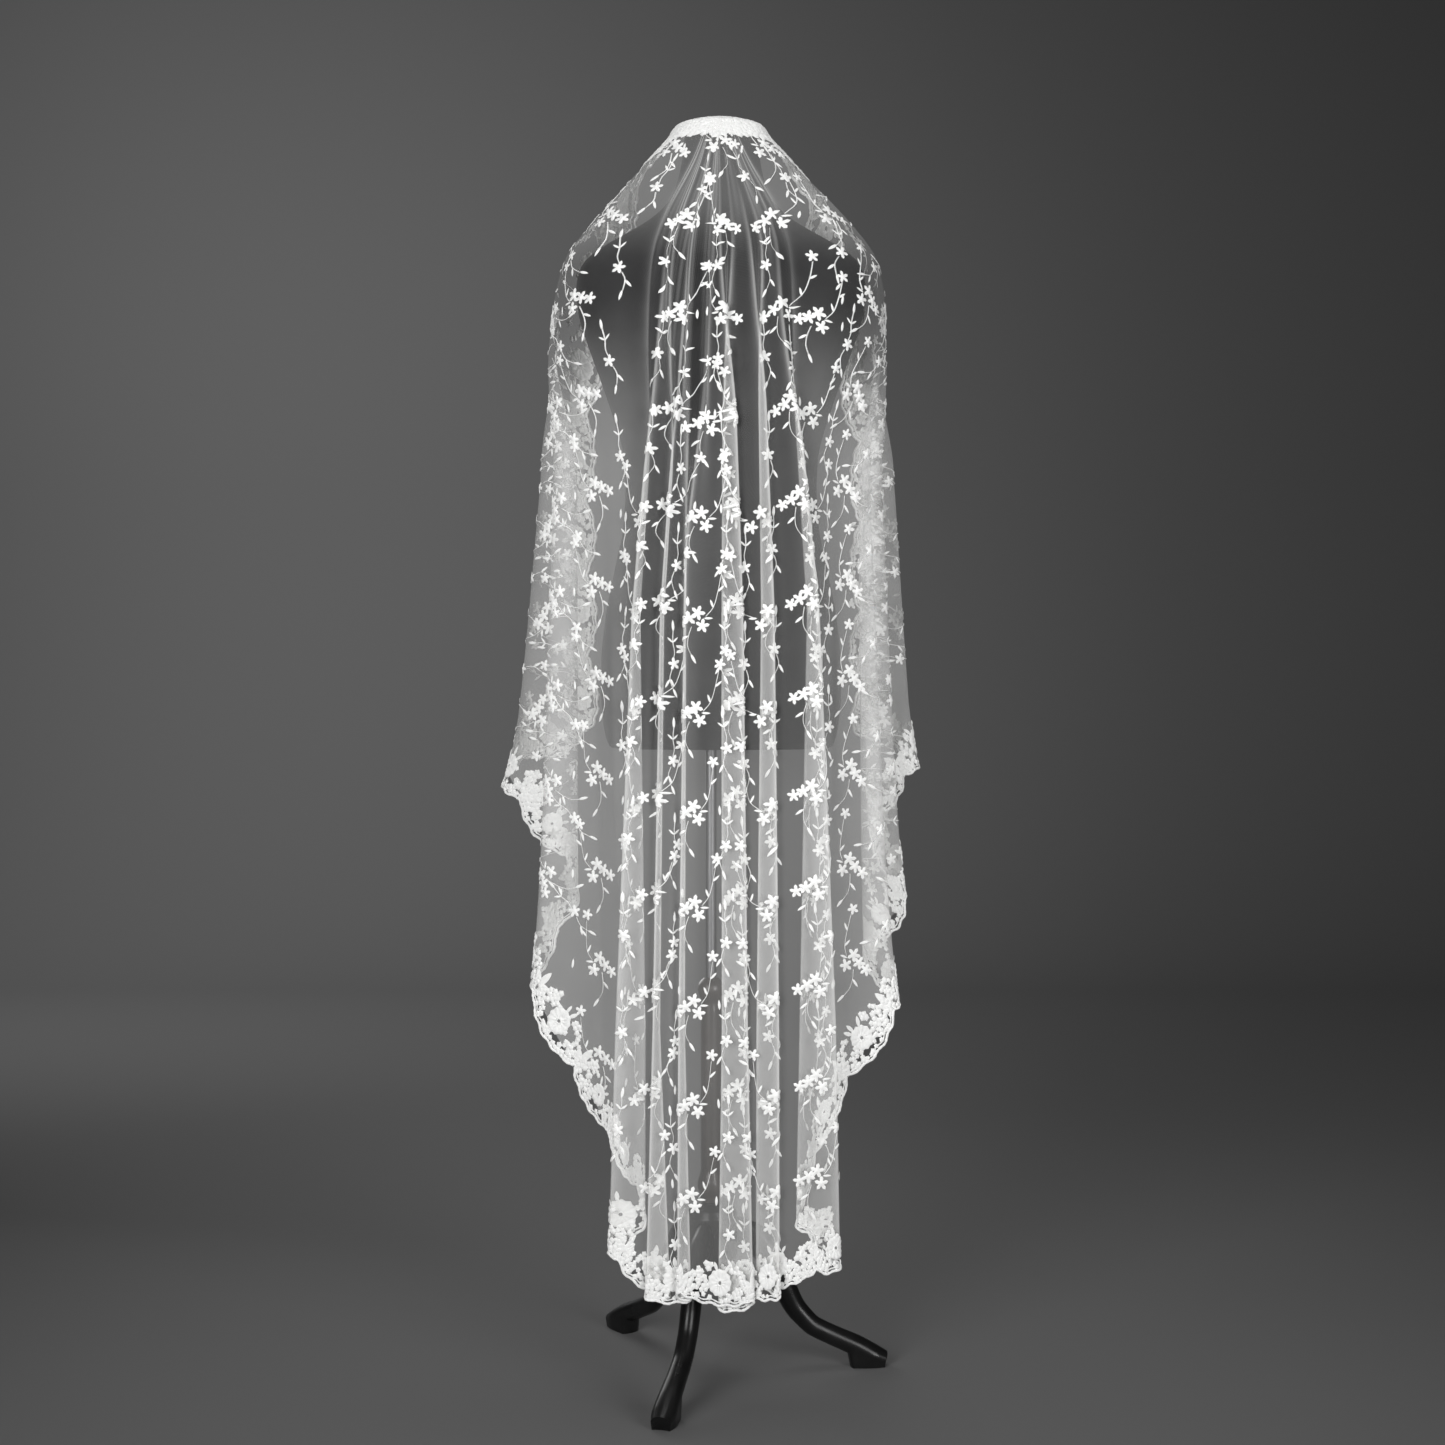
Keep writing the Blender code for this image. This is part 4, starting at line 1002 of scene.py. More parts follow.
def new_tree(kind: str, name: str, inputs: Sequence[tuple[str, Socket, object]],
             outputs: Sequence[tuple[str, Socket]]) -> tuple[Tree, Node, Node]:
    """A node group with named inputs and outputs.

    Args:
        kind: GeometryNodeTree or ShaderNodeTree.
        name: The group's name.
        inputs: Each input's name, kind and default value, or None for no default.
        outputs: Each output's name and kind.

    Returns:
        The tree, its input node and its output node.
    """
    group = bpy.data.node_groups.new(name, kind)
    for label, socket, value in inputs:
        made = group.interface.new_socket(label, in_out="INPUT", socket_type=socket.value)
        if value is not None:
            made.default_value = value
    for label, socket in outputs:
        group.interface.new_socket(label, in_out="OUTPUT", socket_type=socket.value)
    tree = Tree(group)
    return tree, tree.add("NodeGroupInput"), tree.add("NodeGroupOutput")


class Maker:
    """Runs the geometry trees that repeat motifs and sweep threads."""

    def __init__(self) -> None:
        """Builds both trees."""
        self.scatter = self.scatter_tree()
        self.sweep = self.sweep_tree()

    @staticmethod
    def scatter_tree() -> NodeTree:
        """Puts a motif at each point, turned and sized by the points' own values.

        Returns:
            The tree.
        """
        tree, given, out = new_tree("GeometryNodeTree", "motif_scatter", [
            ("Places", Socket.GEOMETRY, None), ("Motif", Socket.OBJECT, None),
            ("Thread", Socket.MATERIAL, None),
        ], [("Motifs", Socket.GEOMETRY)])
        motif = tree.add("GeometryNodeObjectInfo", {"transform_space": "ORIGINAL"},
                         Object=given.outputs["Motif"])
        axis = tree.add("ShaderNodeCombineXYZ", Z=tree.carried("turn"))
        rotation = tree.add("FunctionNodeEulerToRotation", Euler=axis.outputs[0])
        placed = tree.add("GeometryNodeInstanceOnPoints", Points=given.outputs["Places"],
                          Instance=motif.outputs["Geometry"], Rotation=rotation.outputs[0],
                          Scale=tree.carried("size"))
        return tree.dressed(placed.outputs[0], given.outputs["Thread"], out)

    @staticmethod
    def sweep_tree() -> NodeTree:
        """Draws a round thread along each line of edges, as thick as the points say.

        Returns:
            The tree.
        """
        tree, given, out = new_tree("GeometryNodeTree", "thread_sweep", [
            ("Lines", Socket.GEOMETRY, None), ("Thread", Socket.MATERIAL, None),
            ("Radius", Socket.VALUE, 0.0005), ("Sides", Socket.WHOLE, 4),
        ], [("Threads", Socket.GEOMETRY)])
        curve = tree.add("GeometryNodeMeshToCurve", Mesh=given.outputs["Lines"])
        radius = tree.math("MULTIPLY", tree.carried("size"), given.outputs["Radius"])
        profile = tree.add("GeometryNodeCurvePrimitiveCircle", Resolution=given.outputs["Sides"],
                           Radius=1.0)
        swept = tree.add("GeometryNodeCurveToMesh", Curve=curve.outputs[0],
                         Profile_Curve=profile.outputs[0], Scale=radius, Fill_Caps=True)
        return tree.dressed(swept.outputs[0], given.outputs["Thread"], out)

    @staticmethod
    def run(tree: NodeTree, base: Mesh, inputs: dict[str, object]) -> Mesh:
        """Runs a tree on a mesh and keeps the result.

        Args:
            tree: The geometry tree.
            base: The mesh that it starts from.
            inputs: A value for each named input.

        Returns:
            The finished mesh. The base and its modifier are removed.
        """
        holder = new_object("holder", base)
        modifier = holder.modifiers.new("make", "NODES")
        modifier.node_group = tree
        for item in tree.interface.items_tree:
            if item.item_type == "SOCKET" and item.in_out == "INPUT" and item.name in inputs:
                modifier[item.identifier] = inputs[item.name]
        bpy.context.view_layer.update()
        evaluated = holder.evaluated_get(bpy.context.evaluated_depsgraph_get())
        mesh = bpy.data.meshes.new_from_object(evaluated)
        holder.modifiers.remove(modifier)
        bpy.data.objects.remove(holder)
        return mesh

    def scattered(self, motif: Mesh, places: Array, turns: Array, sizes: Array,
                  material: Material) -> Mesh:
        """Copies of a motif in the flat.

        Args:
            motif: The motif's mesh, round its own middle.
            places: x and y of each copy.
            turns: Each copy's turn in radians.
            sizes: Each copy's size.
            material: The finish of all of them.

        Returns:
            One mesh of all copies.
        """
        base = new_mesh("places", np.column_stack([places, np.zeros(len(places))]), [])
        attribute(base, "turn", turns)
        attribute(base, "size", sizes)
        single = new_object("motif", motif)
        made = self.run(self.scatter, base, {"Motif": single, "Thread": material})
        bpy.data.objects.remove(single)
        return made

    def swept(self, lines: Sequence[Array], sizes: Sequence[Array], radius: float, sides: int,
              material: Material, closed: bool = False) -> Mesh:
        """Round threads along lines of points.

        Args:
            lines: The points of each thread.
            sizes: How thick each thread is at its points, as a share of radius.
            radius: The full radius.
            sides: How many sides the thread has.
            material: Its finish.
            closed: Whether each line's end joins its start.

        Returns:
            One mesh of all threads.
        """
        points, edges, first = [], [], 0
        for line in lines:
            count = len(line)
            points.append(line)
            edges += [(first + i, first + i + 1) for i in range(count - 1)]
            if closed:
                edges.append((first + count - 1, first))
            first += count
        base = bpy.data.meshes.new("lines")
        base.from_pydata(np.concatenate(points).tolist(), edges, [])
        attribute(base, "size", np.concatenate(sizes))
        return self.run(self.sweep, base, {"Thread": material, "Radius": radius, "Sides": sides})


def joined(name: str, meshes: Sequence[Mesh], material: Material) -> Mesh:
    """Joins meshes into a smooth one with one finish.

    Args:
        name: Its name.
        meshes: The meshes. They are used up.
        material: The finish.

    Returns:
        The joined mesh.
    """
    points, faces, first = [], [], 0
    for mesh in meshes:
        points.append(points_of(mesh))
        faces += [tuple(first + corner for corner in face.vertices) for face in mesh.polygons]
        first += len(mesh.vertices)
        bpy.data.meshes.remove(mesh)
    made = new_mesh(name, np.concatenate(points), faces)
    made.materials.append(material)
    made.shade_smooth()
    return made


def triangles_in(mesh: Mesh) -> int:
    """How many triangles a mesh draws."""
    return sum(len(face.vertices) - 2 for face in mesh.polygons)


def finished(name: str, mesh: Mesh,
             replaces: Sequence[str] = ()) -> Object:
    """Puts a finished piece on the frame.

    Args:
        name: The piece's name.
        mesh: Its mesh, in place.
        replaces: The solids that it stands for.

    Returns:
        The piece.
    """
    piece = new_object(name, mesh)
    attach(piece, BODY)
    if replaces:
        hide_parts(*replaces)
    LOG.info("%s: %d triangles", name, triangles_in(mesh))
    return piece


# ---------------------------------------------------------------- finishes


class ShaderGroups:
    """The shader effects that more than one finish uses."""

    def __init__(self) -> None:
        """Builds the groups."""
        self.weave = self.weave_group()
        self.mottle = self.mottle_group()

    @staticmethod
    def weave_group() -> NodeTree:
        """Crosses two sets of threads.

        Returns:
            A group that puts out their height, from 0 to 1.
        """
        tree, given, out = new_tree("ShaderNodeTree", "crossed_threads", [
            ("Vector", Socket.VECTOR, None), ("Threads", Socket.VALUE, 600.0),
            ("Uneven", Socket.VALUE, 1.0),
        ], [("Height", Socket.VALUE)])
        waves = [tree.add("ShaderNodeTexWave", {"bands_direction": direction},
                          Vector=given.outputs["Vector"], Scale=given.outputs["Threads"],
                          Distortion=given.outputs["Uneven"]) for direction in ("X", "Y")]
        height = tree.math("MAXIMUM", *(wave.outputs["Fac"] for wave in waves))
        tree.link(height, out.inputs["Height"])
        return tree.tree

    @staticmethod
    def mottle_group() -> NodeTree:
        """Makes a soft cloudy value between two limits.

        Returns:
            A group that puts out the value.
        """
        tree, given, out = new_tree("ShaderNodeTree", "mottle", [
            ("Vector", Socket.VECTOR, None), ("Scale", Socket.VALUE, 20.0),
            ("Detail", Socket.VALUE, 3.0), ("Low", Socket.VALUE, 0.0), ("High", Socket.VALUE, 1.0),
        ], [("Value", Socket.VALUE)])
        noise = tree.add("ShaderNodeTexNoise", Vector=given.outputs["Vector"],
                         Scale=given.outputs["Scale"], Detail=given.outputs["Detail"])
        ranged = tree.add("ShaderNodeMapRange", i0=noise.outputs["Fac"], i1=0.3, i2=0.7,
                          i3=given.outputs["Low"], i4=given.outputs["High"])
        tree.link(ranged.outputs[0], out.inputs["Value"])
        return tree.tree


def new_material(name: str, **values: object) -> tuple[Material, Tree, Node]:
    """Starts a material.

    Args:
        name: The material's name.
        **values: A value for each of the shader's own sockets, spaces written as underscores.

    Returns:
        The material, its tree and its shader.
    """
    material = bpy.data.materials.new(name)
    material.use_nodes = True
    shader = material.node_tree.nodes["Principled BSDF"]
    for socket, value in values.items():
        shader.inputs[socket.replace("_", " ")].default_value = value
    return material, Tree(material.node_tree), shader


class Coordinates(Enum):
    """What a finish's pattern is laid out on."""

    SPACE = "Object"
    CUT = "UV"


@dataclass(frozen=True)
class Finish:
    """A finish with a cloudy colour, an uneven roughness and a fine bump.

    dark and light are the two ends of the colour, and dull and bright those of the roughness.
    """

    name: str
    dark: tuple[float, float, float]
    light: tuple[float, float, float]
    bright: float
    dull: float
    cloud: float
    grain: float
    bump: float
    metallic: float = 0.0
    coat: float = 0.0
    sheen: float = 0.0
    specular: float = 0.5
    woven: bool = False
    on: Coordinates = Coordinates.SPACE
    stretch: tuple[float, float, float] = (1.0, 1.0, 1.0)
    coat_roughness: float = 0.08
    rough_cloud: float = 2.3
    bump_depth: float = 0.0006

    def made(self, groups: ShaderGroups) -> Material:
        """Builds the material.

        Args:
            groups: The shared shader groups.

        Returns:
            The material.
        """
        material, tree, shader = new_material(
            self.name, Metallic=self.metallic, Coat_Weight=self.coat,
            Coat_Roughness=self.coat_roughness, Sheen_Weight=self.sheen,
            Specular_IOR_Level=self.specular)
        place = tree.add("ShaderNodeTexCoord").outputs[self.on.value]
        place = tree.add("ShaderNodeMapping", Vector=place, Scale=self.stretch).outputs[0]
        cloud = tree.group(groups.mottle, Vector=place, Scale=self.cloud)
        colour = tree.add("ShaderNodeMix", {"data_type": "RGBA"}, i0=cloud,
                          i6=(*self.dark, 1.0), i7=(*self.light, 1.0))
        tree.link(colour.outputs[2], shader.inputs["Base Color"])
        rough = tree.group(groups.mottle, Vector=place, Scale=self.cloud * self.rough_cloud,
                           Low=self.bright, High=self.dull)
        tree.link(rough, shader.inputs["Roughness"])
        if self.woven:
            height = tree.group(groups.weave, Vector=place, Threads=self.grain)
        else:
            height = tree.group(groups.mottle, Vector=place, Scale=self.grain)
        bump = tree.add("ShaderNodeBump", Strength=self.bump, Distance=self.bump_depth, Height=height)
        tree.link(bump.outputs[0], shader.inputs["Normal"])
        return material


@dataclass(frozen=True)
class SheerNet:
    """The tulle's net: thin thread with open cells, denser where the cloth turns at a fold."""

    name: str = "white_tulle"
    colour: tuple[float, float, float] = (0.90, 0.90, 0.89)
    cover: float = 0.024
    fold_cover: float = 0.26
    pleat_cover: float = 0.125
    cell: float = 900.0
    mesh_depth: float = 0.030
    roughness: float = 0.8
    uneven_cells: float = 0.25
    thread_width: float = 0.22
    hole_depth: float = -0.4
    cloud: float = 26.0
    cloud_limits: tuple[float, float] = (0.88, 1.12)

    def made(self, groups: ShaderGroups) -> Material:
        """Builds the material, which lets most of what is behind it show.

        Args:
            groups: The shared shader groups.

        Returns:
            The material.
        """
        material, tree, shader = new_material(self.name, Base_Color=(*self.colour, 1.0),
                                              Roughness=self.roughness)
        place = tree.add("ShaderNodeTexCoord").outputs["UV"]
        cells = tree.add("ShaderNodeTexVoronoi",
                         {"feature": "DISTANCE_TO_EDGE", "voronoi_dimensions": "2D"},
                         Vector=place, Scale=self.cell, Randomness=self.uneven_cells)
        thread = tree.add("ShaderNodeMapRange", i0=cells.outputs["Distance"], i1=0.0,
                          i2=self.thread_width, i3=1.0, i4=self.hole_depth)
        low, high = self.cloud_limits
        cloud = tree.group(groups.mottle, Vector=place, Scale=self.cloud, Low=low, High=high)
        fold = tree.add("ShaderNodeAttribute", {"attribute_name": "fold"})
        packed = tree.add("ShaderNodeAttribute", {"attribute_name": "dense"})
        dense = tree.math("MULTIPLY", fold.outputs["Fac"], self.fold_cover)
        dense = tree.math("MULTIPLY_ADD", packed.outputs["Fac"], self.pleat_cover, dense)
        ground = tree.math("MULTIPLY_ADD", thread.outputs[0], self.mesh_depth, self.cover)
        ground = tree.math("MULTIPLY", ground, cloud)
        tree.link(tree.math("ADD", ground, dense, clamp=True), shader.inputs["Alpha"])
        return material


class Finishes:
    """Every finish of the veil, the form and the stand."""

    def __init__(self) -> None:
        """Builds them all."""
        groups = ShaderGroups()
        cut = Coordinates.CUT
        self.tulle = SheerNet().made(groups)
        self.lace = Finish(
            "white_lace", (0.87, 0.87, 0.86), (0.96, 0.96, 0.95), bright=0.65, dull=0.85, cloud=260.0,
            grain=1500.0, bump=0.5, sheen=0.15, on=cut).made(groups)
        self.thread = Finish(
            "white_thread", (0.90, 0.90, 0.89), (0.97, 0.97, 0.96), bright=0.45, dull=0.62,
            cloud=300.0, grain=2600.0, bump=0.3, sheen=0.2, on=cut,
            stretch=(1.0, 0.35, 1.0)).made(groups)
        self.jersey = Finish(
            "black_jersey", (0.006, 0.006, 0.007), (0.012, 0.012, 0.013), bright=0.82, dull=0.95,
            cloud=35.0, grain=420.0, bump=0.35, sheen=0.04, specular=0.15, woven=True).made(groups)
        self.cap = Finish(
            "black_cap", (0.008, 0.008, 0.008), (0.016, 0.016, 0.016), bright=0.30, dull=0.42,
            cloud=40.0, grain=300.0, bump=0.05, coat=0.3).made(groups)
        self.metal = Finish(
            "grey_metal", (0.16, 0.16, 0.165), (0.27, 0.27, 0.275), bright=0.38, dull=0.52,
            cloud=14.0, grain=900.0, bump=0.12, metallic=1.0, stretch=(1.0, 1.0, 0.05)).made(groups)
        self.wood = Finish(
            "dark_wood", (0.020, 0.015, 0.012), (0.055, 0.043, 0.036), bright=0.30, dull=0.48,
            cloud=60.0, grain=500.0, bump=0.2, coat=0.35, stretch=(1.0, 1.0, 0.08)).made(groups)
        self.gloss = Finish(
            "black_gloss", (0.004, 0.004, 0.004), (0.009, 0.009, 0.009), bright=0.26, dull=0.40,
            cloud=22.0, grain=160.0, bump=0.05, coat=0.12, specular=0.3).made(groups)


# ---------------------------------------------------------------- the veil


def leaf_mesh(length: float, width: float, rib: float, stations: int = 5, blunt: float = 0.85,
              fullness: float = 1.0) -> Mesh:
    """A pointed leaf along +X from the origin, its midrib raised.

    Args:
        length: From its stalk to its tip.
        width: Across its widest place.
        rib: How far the midrib stands up.
        stations: Sections between its two ends.
        blunt: Below 1 the leaf is widest nearer its foot.
        fullness: Below 1 its ends are rounder.

    Returns:
        The leaf.
    """
    shares = np.linspace(0.0, 1.0, stations + 2)[1:-1]
    half = width / 2.0 * np.sin(math.pi * shares**blunt) ** fullness
    points = [(0.0, 0.0, 0.0)]
    for share, side in zip(shares, half):
        x = share * length
        points += [(x, side, 0.0), (x, 0.0, rib), (x, -side, 0.0)]
    points.append((length, 0.0, 0.0))
    faces = [(0, 2, 1), (0, 3, 2)]
    for number in range(stations - 1):
        a = 1 + number * 3
        faces += [(a, a + 1, a + 4, a + 3), (a + 1, a + 2, a + 5, a + 4)]
    a = 1 + (stations - 1) * 3
    faces += [(a, a + 1, len(points) - 1), (a + 1, a + 2, len(points) - 1)]
    return new_mesh("leaf", np.array(points), faces)


def radial_mesh(radii: Sequence[float], heights: Sequence[float], lobes: int, lobe: float,
                groove: float, sides: int, filled: bool) -> Mesh:
    """A round motif of rings whose rim and relief follow its petals.

    Args:
        radii: The rings' radii, from the middle out.
        heights: How far each ring stands up.
        lobes: How many petals it has.
        lobe: How far the rim goes in and out.
        groove: How deep the grooves between petals are.
        sides: Points round it.
        filled: Whether its middle is closed.

    Returns:
        The motif.
    """
    turn = np.arange(sides) * 2.0 * math.pi / sides
    wave = 0.5 + 0.5 * np.cos(lobes * turn)
    points = []
    for number, (radius, height) in enumerate(zip(radii, heights)):
        out = number / (len(radii) - 1)
        reach = radius + lobe * (wave - 0.5) * out**2
        rise = height - groove * (1.0 - wave) * math.sin(math.pi * min(out, 0.9))
        points.append(np.column_stack([reach * np.cos(turn), reach * np.sin(turn), rise]))
    faces = grid_faces(len(radii), sides, closed=True).tolist()
    points = np.concatenate(points)
    if filled:
        points = np.concatenate([points, [[0.0, 0.0, heights[0]]]])
        faces += [(i, (i + 1) % sides, len(points) - 1) for i in range(sides)]
    return new_mesh("round", points, faces)


def star_mesh(radius: float, petals: int, waist: float, rise: float) -> Mesh:
    """A small flower: pointed petals round a raised eye.

    Args:
        radius: From the middle to a petal's tip.
        petals: How many petals it has.
        waist: How far out the notch between two petals is, as a share of the radius.
        rise: How far it stands up.

    Returns:
        The flower.
    """
    sides = petals * 4
    turn = np.arange(sides) * 2.0 * math.pi / sides
    shape = np.array([1.0, 0.78, waist, 0.78] * petals)
    lift = np.array([0.55, 0.35, 0.1, 0.35] * petals)
    even = np.ones(sides)
    rings = [(shape * radius, lift * 0.2), (shape * radius * 0.72, lift),
             (even * radius * 0.26, 0.5 * even), (even * radius * 0.14, even)]
    points = [np.column_stack([r * np.cos(turn), r * np.sin(turn), h * rise]) for r, h in rings]
    faces = grid_faces(4, sides, closed=True)[:, ::-1].tolist()
    points = np.concatenate(points + [np.array([[0.0, 0.0, rise]])])
    faces += [(3 * sides + i, 3 * sides + (i + 1) % sides, 4 * sides) for i in range(sides)]
    return new_mesh("star", points, faces)


@dataclass(frozen=True)
class LaceGround:
    """How the nubs that fill the lace stand, and the open places between them.

    Slits wander through the ground, crescents and wedges lie round the rosettes, and the inner edge
    rises and falls. Distances from a rosette are shares of its radius.
    """

    pitch: float = 0.0060
    row_share: float = 0.87
    first_row: float = 0.0052
    jitter: tuple[float, float] = (0.20, 0.18)
    sizes: tuple[float, float] = (0.80, 1.15)
    bare_share: float = 0.06
    rosette: float = 0.98
    crescent: float = 1.34
    wedge: float = 1.9
    wedge_start: float = 0.6
    wedge_slope: tuple[float, float] = (0.25, 0.22)
    slit: float = 0.62
    edge: tuple[float, float] = (0.84, 0.16)


@dataclass(frozen=True)
class CrownLace:
    """The thick gathered lace over the top of the neck."""

    foot: float = 1.5265
    pitch: float = 0.0054
    half_width: float = 0.075
    rows: tuple[float, float] = (0.018, 0.125)
    side_share: float = 0.47
    jitter: float = 0.2
    sizes: tuple[float, float] = (0.95, 1.3)
    rise: float = 1.2
    lift: float = 0.0004
    thick: float = 0.0012
    thick_reach: float = 0.030


@dataclass(frozen=True)
class Cord:
    """A cord along the scalloped edge."""

    inside: float
    radius: float
    step: float
    sides: int


@dataclass
class Border:
    """The lace border: a band round the whole cut, with a corded, scalloped outer edge.

    Leaves are given as an angle in degrees, and those at the valleys also by how far in they start
    and their size.
    """

    cloth: Cloth
    maker: Maker
    material: Material
    scallop: float = 0.105
    scallop_depth: float = 0.0155
    scallop_power: float = 0.7
    uneven: float = 0.07
    wave: float = 0.0013
    wave_length: float = 0.023
    inset: float = 0.0015
    width: float = 0.049
    lift: float = 0.0005
    rosette_radius: float = 0.0155
    rosette_place: float = 0.0260
    leaf: tuple[float, float] = (0.021, 0.0078)
    leaf_sizes: tuple[float, float] = (0.48, 0.66)
    rosette_leaves: tuple[tuple[float, ...], ...] = ((62.0, 92.0, 124.0), (74.0, 110.0))
    valley_leaves: tuple[tuple[float, float, float], ...] = (
        (52.0, 0.020, 0.95), (90.0, 0.024, 1.25), (128.0, 0.020, 0.95), (18.0, 0.030, 0.7),
        (162.0, 0.030, 0.7), (74.0, 0.012, 0.8), (108.0, 0.012, 0.8))
    cords: tuple[Cord, ...] = (Cord(0.0, 0.0017, 0.003, 7), Cord(0.0042, 0.0009, 0.0035, 5))
    cord_lift: float = 0.0004
    twist_length: float = 0.0062
    corner_ease: float = 0.024
    front_columns: int = 60
    front_rows: tuple[float, float] = (0.82, 0.985)
    ground: LaceGround = LaceGround()
    crown: CrownLace = CrownLace()
    seed: int = 11

    def __post_init__(self) -> None:
        """Works out the band's outer line, its way inwards and its scallops."""
        line = self.cloth.outline
        step = float(np.linalg.norm(line[1] - line[0]))
        reach = int(3 * self.corner_ease / step)
        kernel = np.exp(-0.5 * (np.arange(-reach, reach + 1) * step / self.corner_ease) ** 2)
        kernel /= kernel.sum()
        padded = np.concatenate([line[-reach:], line, line[:reach]])
        smooth = np.stack([np.convolve(values, kernel, mode="valid") for values in padded.T], axis=-1)
        self.line = np.concatenate([smooth, smooth[:1]])
        self.run = run_of(self.line)
        self.total = float(self.run[-1])
        along = unit(np.roll(smooth, -1, axis=0) - np.roll(smooth, 1, axis=0))
        inwards = np.stack([-along[:, 1], along[:, 0]], axis=-1)
        if ((smooth.mean(axis=0) - smooth) * inwards).sum() < 0:
            inwards = -inwards
        self.inwards = np.concatenate([inwards, inwards[:1]])
        self.repeats = round(self.total / self.scallop)
        shift = np.random.default_rng(self.seed).uniform(-self.uneven, self.uneven, self.repeats)
        self.valleys = (np.arange(self.repeats) + shift) / self.repeats * self.total
        LOG.info("the border is %.3f m long in %d scallops", self.total, self.repeats)

    def flat(self, along: Array, inside: Array) -> Array:
        """Finds places of the band in the flat cut.

        Args:
            along: Lengths along the band.
            inside: Distances in from its outer line.

        Returns:
            x and y in the cut.
        """
        along = np.mod(along, self.total)
        edge, way = (read_rows(along, self.run, values) for values in (self.line, self.inwards))
        return edge + unit(way) * (inside + self.inset)[..., None]

    def edge_inside(self, along: Array) -> Array:
        """Works out how far in from the outer line the scalloped edge lies.

        Args:
            along: Lengths along the band.

        Returns:
            The distance at each.
        """
        place = np.mod(along - self.valleys[0], self.total) + self.valleys[0]
        after = np.searchsorted(self.valleys, place, "right")
        low = self.valleys[after - 1]
        high = np.append(self.valleys, self.valleys[0] + self.total)[after]
        bow = np.abs(np.sin(math.pi * (place - low) / (high - low))) ** self.scallop_power
        phase = 2.0 * math.pi * along / self.wave_length
        small = self.wave * np.sin(phase + 3.0 * np.sin(along * 9.0))
        return self.scallop_depth * (1.0 - bow) + small

    def laid(self, mesh: Mesh) -> Mesh:
        """Lays a flat mesh of the band on the drape."""
        points = points_of(mesh)
        flat = self.flat(points[:, 0], points[:, 1])
        return move_points(mesh, self.cloth.laid(flat, points[:, 2] + self.lift))

    def fillers(self, chance: np.random.Generator, centres: Array) -> tuple[Array, Array]:
        """Spreads the small nubs that fill the ground.

        Args:
            chance: The seeded source of small differences.
            centres: The rosettes' places and radii.

        Returns:
            The nubs' places along and into the band, and their sizes.
        """
        ground = self.ground
        rows = int(self.width / (ground.pitch * ground.row_share))
        columns = int(self.total / ground.pitch)
        r, c = np.meshgrid(np.arange(rows), np.arange(columns), indexing="ij")
        shifts = [chance.uniform(-jitter, jitter, r.shape) * ground.pitch for jitter in ground.jitter]
        along = ((c + 0.5 * (r % 2)) * self.total / columns + shifts[0]).ravel()
        inside = (ground.first_row + r * ground.pitch * ground.row_share + shifts[1]).ravel()
        inside = inside + self.edge_inside(along) * np.clip(1.0 - inside / self.width, 0.0, 1.0)
        half = self.total / 2.0
        away = (along[:, None] - centres[None, :, 0] + half) % self.total - half
        nearest = np.abs(away).argmin(axis=1)
        across = away[np.arange(len(away)), nearest]
        down = inside - centres[nearest, 1]
        distance = np.hypot(across, down) / centres[nearest, 2]
        bearing = np.arctan2(down, across)
        crescent = (distance < ground.crescent) & (np.sin(bearing * 3.0 + nearest * 1.7) > 0.0)
        low, swing = ground.edge
        edge = low + swing * np.cos(4.0 * math.pi * np.abs(across) / self.scallop + nearest)
        bend = np.sin(along * 370.0 + 2.0 * np.sin(inside * 300.0))
        slit = bend * np.sin(inside * 480.0 + along * 120.0) > ground.slit
        slope, spread = ground.wedge_slope
        leaning = np.abs(down / np.maximum(np.abs(across), 1e-4) - slope) < spread
        beside = (np.abs(across) > ground.wedge_start * self.rosette_radius) & (
            across * (-1.0) ** nearest > 0.0)
        wedge = (distance < ground.wedge) & beside & leaning
        keep = (distance > ground.rosette) & (inside < self.width * edge)
        keep &= ~(crescent | slit | wedge)
        keep &= chance.uniform(size=along.shape) > ground.bare_share
        sizes = chance.uniform(*ground.sizes, along.shape)
        return np.column_stack([along, inside])[keep], sizes[keep]

    def build(self) -> None:
        """Makes the border's three pieces and puts them on the frame."""
        chance = np.random.default_rng(self.seed + 1)
        nexts = np.append(self.valleys[1:], self.valleys[0] + self.total)
        size = np.clip((nexts - self.valleys) / self.scallop, 0.9, 1.1)
        centres = np.column_stack([
            (self.valleys + nexts) / 2.0 + chance.uniform(-0.004, 0.004, self.repeats),
            self.rosette_place + chance.uniform(-0.0015, 0.0025, self.repeats),
            self.rosette_radius * size,
        ])
        spray = self.sprays(chance, centres)
        places, sizes = self.fillers(chance, centres)
        leaf = leaf_mesh(*self.leaf, rib=0.0011, stations=6, blunt=0.9, fullness=0.65)
        parts = (
            (self.rosette(), centres[:, :2], chance.uniform(0, ALL_WAYS, self.repeats), size),
            (leaf, *spray),
            (self.filler(), places, chance.uniform(0, ALL_WAYS, len(places)), sizes),
        )
        made: dict[bool, list[Mesh]] = {True: [], False: []}
        for motif, spots, turns, scales in parts:
            front = self.on_front(spots[:, 0])
            for side in made:
                mask = front == side
                copies = self.maker.scattered(motif.copy(), spots[mask], turns[mask], scales[mask],
                                              self.material)
                made[side].append(self.laid(copies))
            bpy.data.meshes.remove(motif)
        made[True].append(self.crown_fill(chance))
        self.finish("lace_front_and_crown", made[True],
                    ("lace_crown", "lace_front_left", "lace_front_right"))
        self.finish("lace_hem", made[False], ("lace_hem_left", "lace_hem_back", "lace_hem_right"))
        self.finish("lace_edge_cord", self.cord_meshes(), ())

